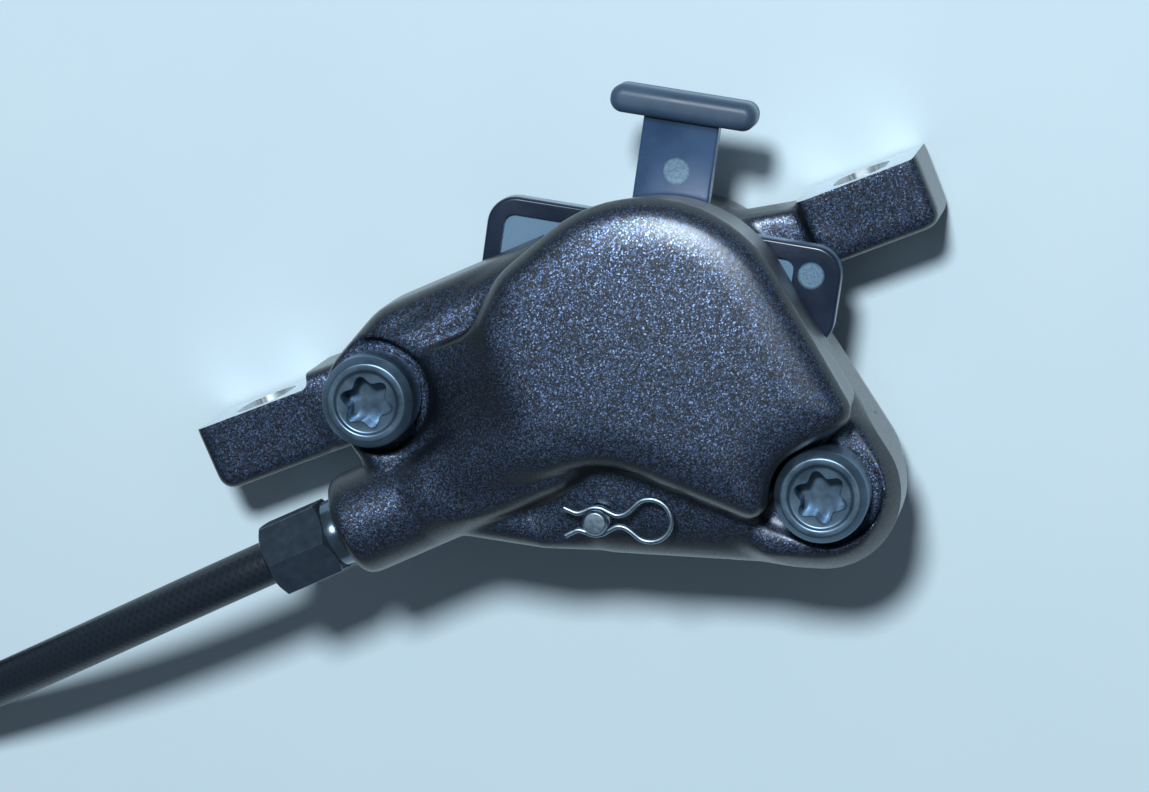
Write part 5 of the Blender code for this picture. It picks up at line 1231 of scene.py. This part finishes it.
def ring(name, inner, outer, low, high, edge):
    """Ring about Z with its corners taken off."""
    return lathe(name, [(outer - edge, high), (outer, high - edge), (outer, low + edge),
                        (outer - edge, low), (inner + edge, low), (inner, low + edge),
                        (inner, high - edge), (inner + edge, high)], 72)


for side, flip in (("inboard", 0.0), ("outboard", math.pi)):
    seal = ring(side + "_piston_seal_dressed", BORE_R, SEAL_OUTER, SEAL_LOW, SEAL_HIGH, SEAL_EDGE)
    seal.data.transform(PAD_FRAME @ Matrix.Rotation(flip, 4, "X"))
    dress(seal, rubber, "caliper", side + "_piston_seal")
cord = [(CROSS_SEAL_R + CROSS_SEAL_CORD * math.cos(TAU * k / 16.0),
         CROSS_SEAL_CORD * math.sin(TAU * k / 16.0)) for k in range(16)]
seal = lathe("crossover_seal_dressed", cord, 48)
seal.data.transform(Matrix.Translation((CROSSOVER.x, CROSSOVER.y, ROTOR_PLANE + CROSS_SEAL_CORD)))
dress(seal, rubber, "caliper", "crossover_seal")
washer = ring("bleed_screw_seal_dressed", 2.8 * MM, BLEED_HEAD_R, -1.1 * MM, -0.3 * MM, 0.1 * MM)
dress(along(washer, BLEED_AT, BLEED_LINE), rubber, "caliper", "bleed_screw_seal")

# Bleed screw: turned steel with a hex socket, blackened as the body bolts are.
# Its point closes the fluid passage at the outboard half's boss, and its head nips the seal.
BLEED_R = 2.5 * MM
BLEED_UNDER = -1.4 * MM
BLEED_TOP = -3.6 * MM
BLEED_KEY = 1.5 * MM
BLEED_POINT = 6.0 * MM
BLEED_THREADS = 7
# The thread's pitch and its first root and crest, in millimetres
BLEED_PITCH = 0.75
BLEED_ROOT = 4.45
BLEED_CREST = 4.1
thread = [(0.0, BLEED_POINT), (1.6 * MM, BLEED_POINT), (BLEED_R, 4.8 * MM)]
for k in range(BLEED_THREADS):
    thread += [(BLEED_R - 0.3 * MM, (BLEED_ROOT - BLEED_PITCH * k) * MM),
               (BLEED_R, (BLEED_CREST - BLEED_PITCH * k) * MM)]
bleed = lathe("bleed_screw_dressed",
              thread + [(BLEED_R, BLEED_UNDER), (BLEED_HEAD_R, BLEED_UNDER),
                        (BLEED_HEAD_R, BLEED_TOP + 0.4 * MM), (BLEED_HEAD_R - 0.4 * MM, BLEED_TOP),
                        (0.0, BLEED_TOP)], steps=64, ease=0.08 * MM)
hexagon = [(BLEED_KEY * math.cos(TAU * k / 6.0), BLEED_KEY * math.sin(TAU * k / 6.0))
           for k in range(6)]
carve(bleed, [loft("bleed_key", [(hexagon, BLEED_TOP - MM), (hexagon, BLEED_UNDER - 0.4 * MM)])])
dress(along(bleed, BLEED_AT, BLEED_LINE), blackened, "caliper", "bleed_screw")

# Brake pads: a stamped steel plate that hangs on the axle by its tab, and the lining pressed and
# bonded on it. The plates slide on the axle and in the pocket, square to the rotor.
PAD_BOTTOM = -9.6 * MM
BACKING_FACE = 3.65 * MM
BACKING = 1.8 * MM
LINING_FACE = 1.6 * MM
LINING = 2.0 * MM
LINING_HALF = 10.8 * MM
LINING_TOP = 8.8 * MM
LINING_BOTTOM = -7.4 * MM
TAB_HALF = 4.5 * MM
TAB_CORNER = 2.4 * MM
TAB_HOLLOW = 1.6 * MM
PAD_CORNER = 2.2 * MM
PAD_HOLE_R = 1.7 * MM
AXLE_IN_PADS = PAD_FRAME.inverted() @ Vector((AXLE.x, AXLE.y, 0.0))

# Stamped steel with a thin zinc skin: grey, with the rolled sheet's long streaks and handling dulls
stamped, tree, shader = finish("zinc_plated_stamped_steel", "#9EA5AB", 0.4, 1.0)
place = add(tree, "ShaderNodeTexCoord")
long_way = add(tree, "ShaderNodeVectorMath", {0: (place, "Object"), 1: (1.0, 6.0, 1.0)},
               operation="MULTIPLY")
streaks = add(tree, "ShaderNodeTexNoise", {"Vector": (long_way, 0), "Scale": 1.0 / (2.0 * MM),
                                           "Detail": 6.0})
tone = add(tree, "ShaderNodeMix", {"Factor": (streaks, 0), 6: linear("#7F878E"),
                                   7: linear("#B7BEC4")}, data_type="RGBA")
link(tree, tone, 2, shader, "Base Color")
rough = add(tree, "ShaderNodeMapRange", {"Value": (streaks, 0), "To Min": 0.3, "To Max": 0.52})
link(tree, rough, 0, shader, "Roughness")
relief = add(tree, "ShaderNodeBump", {"Height": (streaks, 0), "Strength": 0.12,
                                      "Distance": 0.02 * MM})
link(tree, relief, "Normal", shader, "Normal")

# Friction compound: dark resin and fibre with half-millimetre brass and steel chips in it
lining_mix, tree, shader = finish("pressed_friction_compound", "#3A342E", 0.8, 0.0)
place = add(tree, "ShaderNodeTexCoord")
chips = add(tree, "ShaderNodeTexVoronoi", {"Vector": (place, "Object"),
                                           "Scale": 1.0 / (0.7 * MM)})
kinds = add(tree, "ShaderNodeSeparateXYZ", {"Vector": (chips, "Color")})
chosen = add(tree, "ShaderNodeMath", {0: (kinds, "X"), 1: 0.72}, operation="GREATER_THAN")
inside = add(tree, "ShaderNodeMath", {0: (chips, "Distance"), 1: 0.34}, operation="LESS_THAN")
chip = add(tree, "ShaderNodeMath", {0: (chosen, 0), 1: (inside, 0)}, operation="MULTIPLY")
metals = add(tree, "ShaderNodeMix", {"Factor": (kinds, "Y"), 6: linear("#B08B4C"),
                                     7: linear("#A4A8AB")}, data_type="RGBA")
clouds = add(tree, "ShaderNodeTexNoise", {"Vector": (place, "Object"), "Scale": 1.0 / (0.9 * MM),
                                          "Detail": 8.0, "Roughness": 0.65})
matrix = add(tree, "ShaderNodeMix", {"Factor": (clouds, 0), 6: linear("#26221E"),
                                     7: linear("#544B42")}, data_type="RGBA")
tone = add(tree, "ShaderNodeMix", {"Factor": (chip, 0), 6: (matrix, 2), 7: (metals, 2)},
           data_type="RGBA")
link(tree, tone, 2, shader, "Base Color")
link(tree, chip, 0, shader, "Metallic")
rough = add(tree, "ShaderNodeMapRange", {"Value": (chip, 0), "To Min": 0.85, "To Max": 0.42})
link(tree, rough, 0, shader, "Roughness")
relief = add(tree, "ShaderNodeBump", {"Height": (clouds, 0), "Strength": 0.35,
                                      "Distance": 0.08 * MM})
link(tree, relief, "Normal", shader, "Normal")

tab = [(PAD_MID + PAD_HALF - PAD_CORNER, PAD_BOTTOM + PAD_CORNER, PAD_CORNER),
       (PAD_MID + PAD_HALF - PAD_CORNER, PAD_TOP - PAD_CORNER, PAD_CORNER),
       (PAD_MID - PAD_HALF + PAD_CORNER, PAD_TOP - PAD_CORNER, PAD_CORNER),
       (PAD_MID - PAD_HALF + PAD_CORNER, PAD_BOTTOM + PAD_CORNER, PAD_CORNER),
       (AXLE_IN_PADS.x - TAB_HALF - TAB_HOLLOW, PAD_BOTTOM - TAB_HOLLOW, -TAB_HOLLOW),
       (AXLE_IN_PADS.x - TAB_HALF + TAB_CORNER, AXLE_IN_PADS.y - 0.4 * MM, TAB_CORNER),
       (AXLE_IN_PADS.x + TAB_HALF - TAB_CORNER, AXLE_IN_PADS.y - 0.4 * MM, TAB_CORNER),
       (AXLE_IN_PADS.x + TAB_HALF + TAB_HOLLOW, PAD_BOTTOM - TAB_HOLLOW, -TAB_HOLLOW)]
for side, sign in (("inboard", 1), ("outboard", -1)):
    low, high = sorted((sign * BACKING_FACE, sign * (BACKING_FACE + BACKING)))
    plate = cushion(side + "_pad_plate_dressed", tab, low, high, under=0.15 * MM, over=0.15 * MM)
    carve(plate, [bar("pad_hole", PAD_HOLE_R, -8.0 * MM, 8.0 * MM, AXLE_IN_PADS.x, AXLE_IN_PADS.y)])
    plate.data.transform(PAD_FRAME)
    dress(plate, stamped, side + "_pad", side + "_pad_plate")
    low, high = sorted((sign * LINING_FACE, sign * (LINING_FACE + LINING)))
    under, over = (0.5 * MM, 0.05 * MM) if sign > 0 else (0.05 * MM, 0.5 * MM)
    lining = cushion(side + "_friction_pad_dressed",
                     box_circles(PAD_MID - LINING_HALF, PAD_MID + LINING_HALF, LINING_BOTTOM,
                                 LINING_TOP, 2.5 * MM), low, high, under=under, over=over)
    lining.data.transform(PAD_FRAME)
    dress(lining, lining_mix, side + "_pad", side + "_friction_pad")

# Pad spring: one leaf of spring steel sheet, pressed and folded into two frames joined by a bridge.
# Its frames lie against the plates and push them apart; its bridge is held by the axle.
SPRING_HALF = 12.6 * MM
SPRING_WINDOW = 11.2 * MM
LEAF_OUT = 3.35 * MM
LEAF_IN = 3.0 * MM
BRIDGE_HALF = 3.5 * MM
BRIDGE_AT = -11.4 * MM
SHEET = 0.35 * MM
SHEET_EDGE = 0.06 * MM
spring = cushion("pad_spring_dressed", box_circles(AXLE_IN_PADS.x - BRIDGE_HALF,
                                                   AXLE_IN_PADS.x + BRIDGE_HALF, BRIDGE_AT,
                                                   BRIDGE_AT + SHEET, 0.08 * MM),
                 -LEAF_OUT, LEAF_OUT, under=SHEET_EDGE, over=SHEET_EDGE)
leaves = []
for sign in (1, -1):
    low, high = sorted((sign * LEAF_IN, sign * LEAF_OUT))
    leaf = cushion("leaf", box_circles(PAD_MID - SPRING_HALF, PAD_MID + SPRING_HALF,
                                       PAD_BOTTOM + 0.3 * MM, PAD_TOP - 2.0 * MM, 1.2 * MM),
                   low, high, under=SHEET_EDGE, over=SHEET_EDGE)
    carve(leaf, [cushion("window", box_circles(PAD_MID - SPRING_WINDOW, PAD_MID + SPRING_WINDOW,
                                               LINING_BOTTOM - 0.3 * MM, PAD_TOP, 0.8 * MM),
                         -8.0 * MM, 8.0 * MM)])
    leaves.append(leaf)
    leaves.append(cushion("foot", box_circles(AXLE_IN_PADS.x - BRIDGE_HALF,
                                              AXLE_IN_PADS.x + BRIDGE_HALF, BRIDGE_AT,
                                              LINING_BOTTOM - 0.6 * MM, 0.3 * MM),
                          low, high, under=SHEET_EDGE, over=SHEET_EDGE))
carve(spring, leaves, "UNION")
spring.data.transform(PAD_FRAME)
dress(spring, stamped, "caliper", "pad_spring")

# Olives and barbs: turned brass. The nut crushes the olive on the hose, and the barb's teeth hold
# the hose's bore; both ends of the hose have the same pair.
OLIVE_LOW = 3.9 * MM
OLIVE_HIGH = 6.7 * MM
OLIVE_BORE = 2.8 * MM
OLIVE_R = 3.6 * MM
BARB_BORE = 0.5 * MM
BARB_R = 1.0 * MM
BARB_TEETH = 6
FLANGE_R = 2.2 * MM
FLANGE_LOW = -1.1 * MM
FLANGE_HIGH = -0.3 * MM
# The barb's tooth spacing and its first crest and root, in millimetres
TOOTH_STEP = 1.2
TOOTH_CREST = 8.4
TOOTH_ROOT = 8.3

# Turned brass, dulled by handling in patches a little under a millimetre wide
brass, tree, shader = finish("turned_brass", "#B9954F", 0.28, 1.0)
place = add(tree, "ShaderNodeTexCoord")
dulls = add(tree, "ShaderNodeTexNoise", {"Vector": (place, "Object"), "Scale": 1.0 / (0.8 * MM),
                                         "Detail": 6.0})
tone = add(tree, "ShaderNodeMix", {"Factor": (dulls, 0), 6: linear("#9A7A3C"),
                                   7: linear("#D2B06A")}, data_type="RGBA")
link(tree, tone, 2, shader, "Base Color")
rough = add(tree, "ShaderNodeMapRange", {"Value": (dulls, 0), "To Min": 0.2, "To Max": 0.42})
link(tree, rough, 0, shader, "Roughness")

for end, start, heading in (("hose", HOSE_START, -PORT_LINE), ("lever_end", TAIL_END, TAIL_LINE)):
    olive = lathe(end + "_olive_dressed",
                  [(OLIVE_BORE, OLIVE_HIGH), (OLIVE_BORE + 0.3 * MM, OLIVE_HIGH),
                   (OLIVE_R, OLIVE_HIGH - 0.9 * MM), (OLIVE_R, OLIVE_LOW + 0.9 * MM),
                   (OLIVE_BORE + 0.3 * MM, OLIVE_LOW), (OLIVE_BORE, OLIVE_LOW)], 64)
    dress(along(olive, start, heading), brass, "caliper", end + "_olive")
    teeth = [(BARB_BORE, 9.0 * MM), (BARB_R - 0.3 * MM, 9.0 * MM)]
    for k in range(BARB_TEETH):
        teeth += [(BARB_R, (TOOTH_CREST - TOOTH_STEP * k) * MM),
                  (BARB_R - 0.15 * MM, (TOOTH_ROOT - TOOTH_STEP * k) * MM)]
    teeth += [(BARB_R, FLANGE_HIGH), (FLANGE_R, FLANGE_HIGH), (FLANGE_R, FLANGE_LOW),
              (BARB_BORE, FLANGE_LOW)]
    barb = lathe(end + "_barb_dressed", teeth, 40)
    dress(along(barb, start, heading), brass, "caliper", end + "_barb")

# Studio: a plain pale table of satin laminate, one round soft lamp above and behind the object,
# and an even room in a pale blue that only lifts the shadows.
TABLE_HALF = 2.0
TABLE_TOP = -0.05 * MM
LAMP_AIM = Vector((-12.0 * MM, 0.0, 20.0 * MM))
LAMP_LINE = Vector((0.171, 0.374, 0.91)).normalized()
LAMP_AWAY = 0.9
LAMP_WIDTH = 0.13
LAMP_WATTS = 7.8
floor_mesh = bpy.data.meshes.new("table")
floor_mesh.from_pydata([(-TABLE_HALF, -TABLE_HALF, TABLE_TOP), (TABLE_HALF, -TABLE_HALF, TABLE_TOP),
                        (TABLE_HALF, TABLE_HALF, TABLE_TOP), (-TABLE_HALF, TABLE_HALF, TABLE_TOP)],
                       [], [(0, 1, 2, 3)])
floor = show("table", floor_mesh)
laminate, tree, shader = finish("pale_laminate", "#DAEDF7", 0.5, 0.0)
place = add(tree, "ShaderNodeTexCoord")
clouds = add(tree, "ShaderNodeTexNoise", {"Vector": (place, "Object"), "Scale": 1.0 / (30.0 * MM),
                                          "Detail": 6.0})
tone = add(tree, "ShaderNodeMix", {"Factor": (clouds, 0), 6: linear("#D3E7F1"),
                                   7: linear("#DAECF5")}, data_type="RGBA")
link(tree, tone, 2, shader, "Base Color")
floor.data.materials.append(laminate)

softbox = bpy.data.lights.new("softbox", "AREA")
softbox.shape = "DISK"
softbox.size = LAMP_WIDTH
softbox.energy = LAMP_WATTS
softbox.color = (0.86, 0.945, 1.0)
lamp = bpy.data.objects.new("softbox", softbox)
bpy.context.scene.collection.objects.link(lamp)
lamp.location = LAMP_AIM + LAMP_LINE * LAMP_AWAY
lamp.rotation_euler = LAMP_LINE.to_track_quat("Z", "Y").to_euler()

world = bpy.data.worlds.new("room")
world.use_nodes = True
bpy.context.scene.world = world
room = world.node_tree.nodes["Background"]
room.inputs["Color"].default_value = linear("#CFE2F5")
room.inputs["Strength"].default_value = 0.12
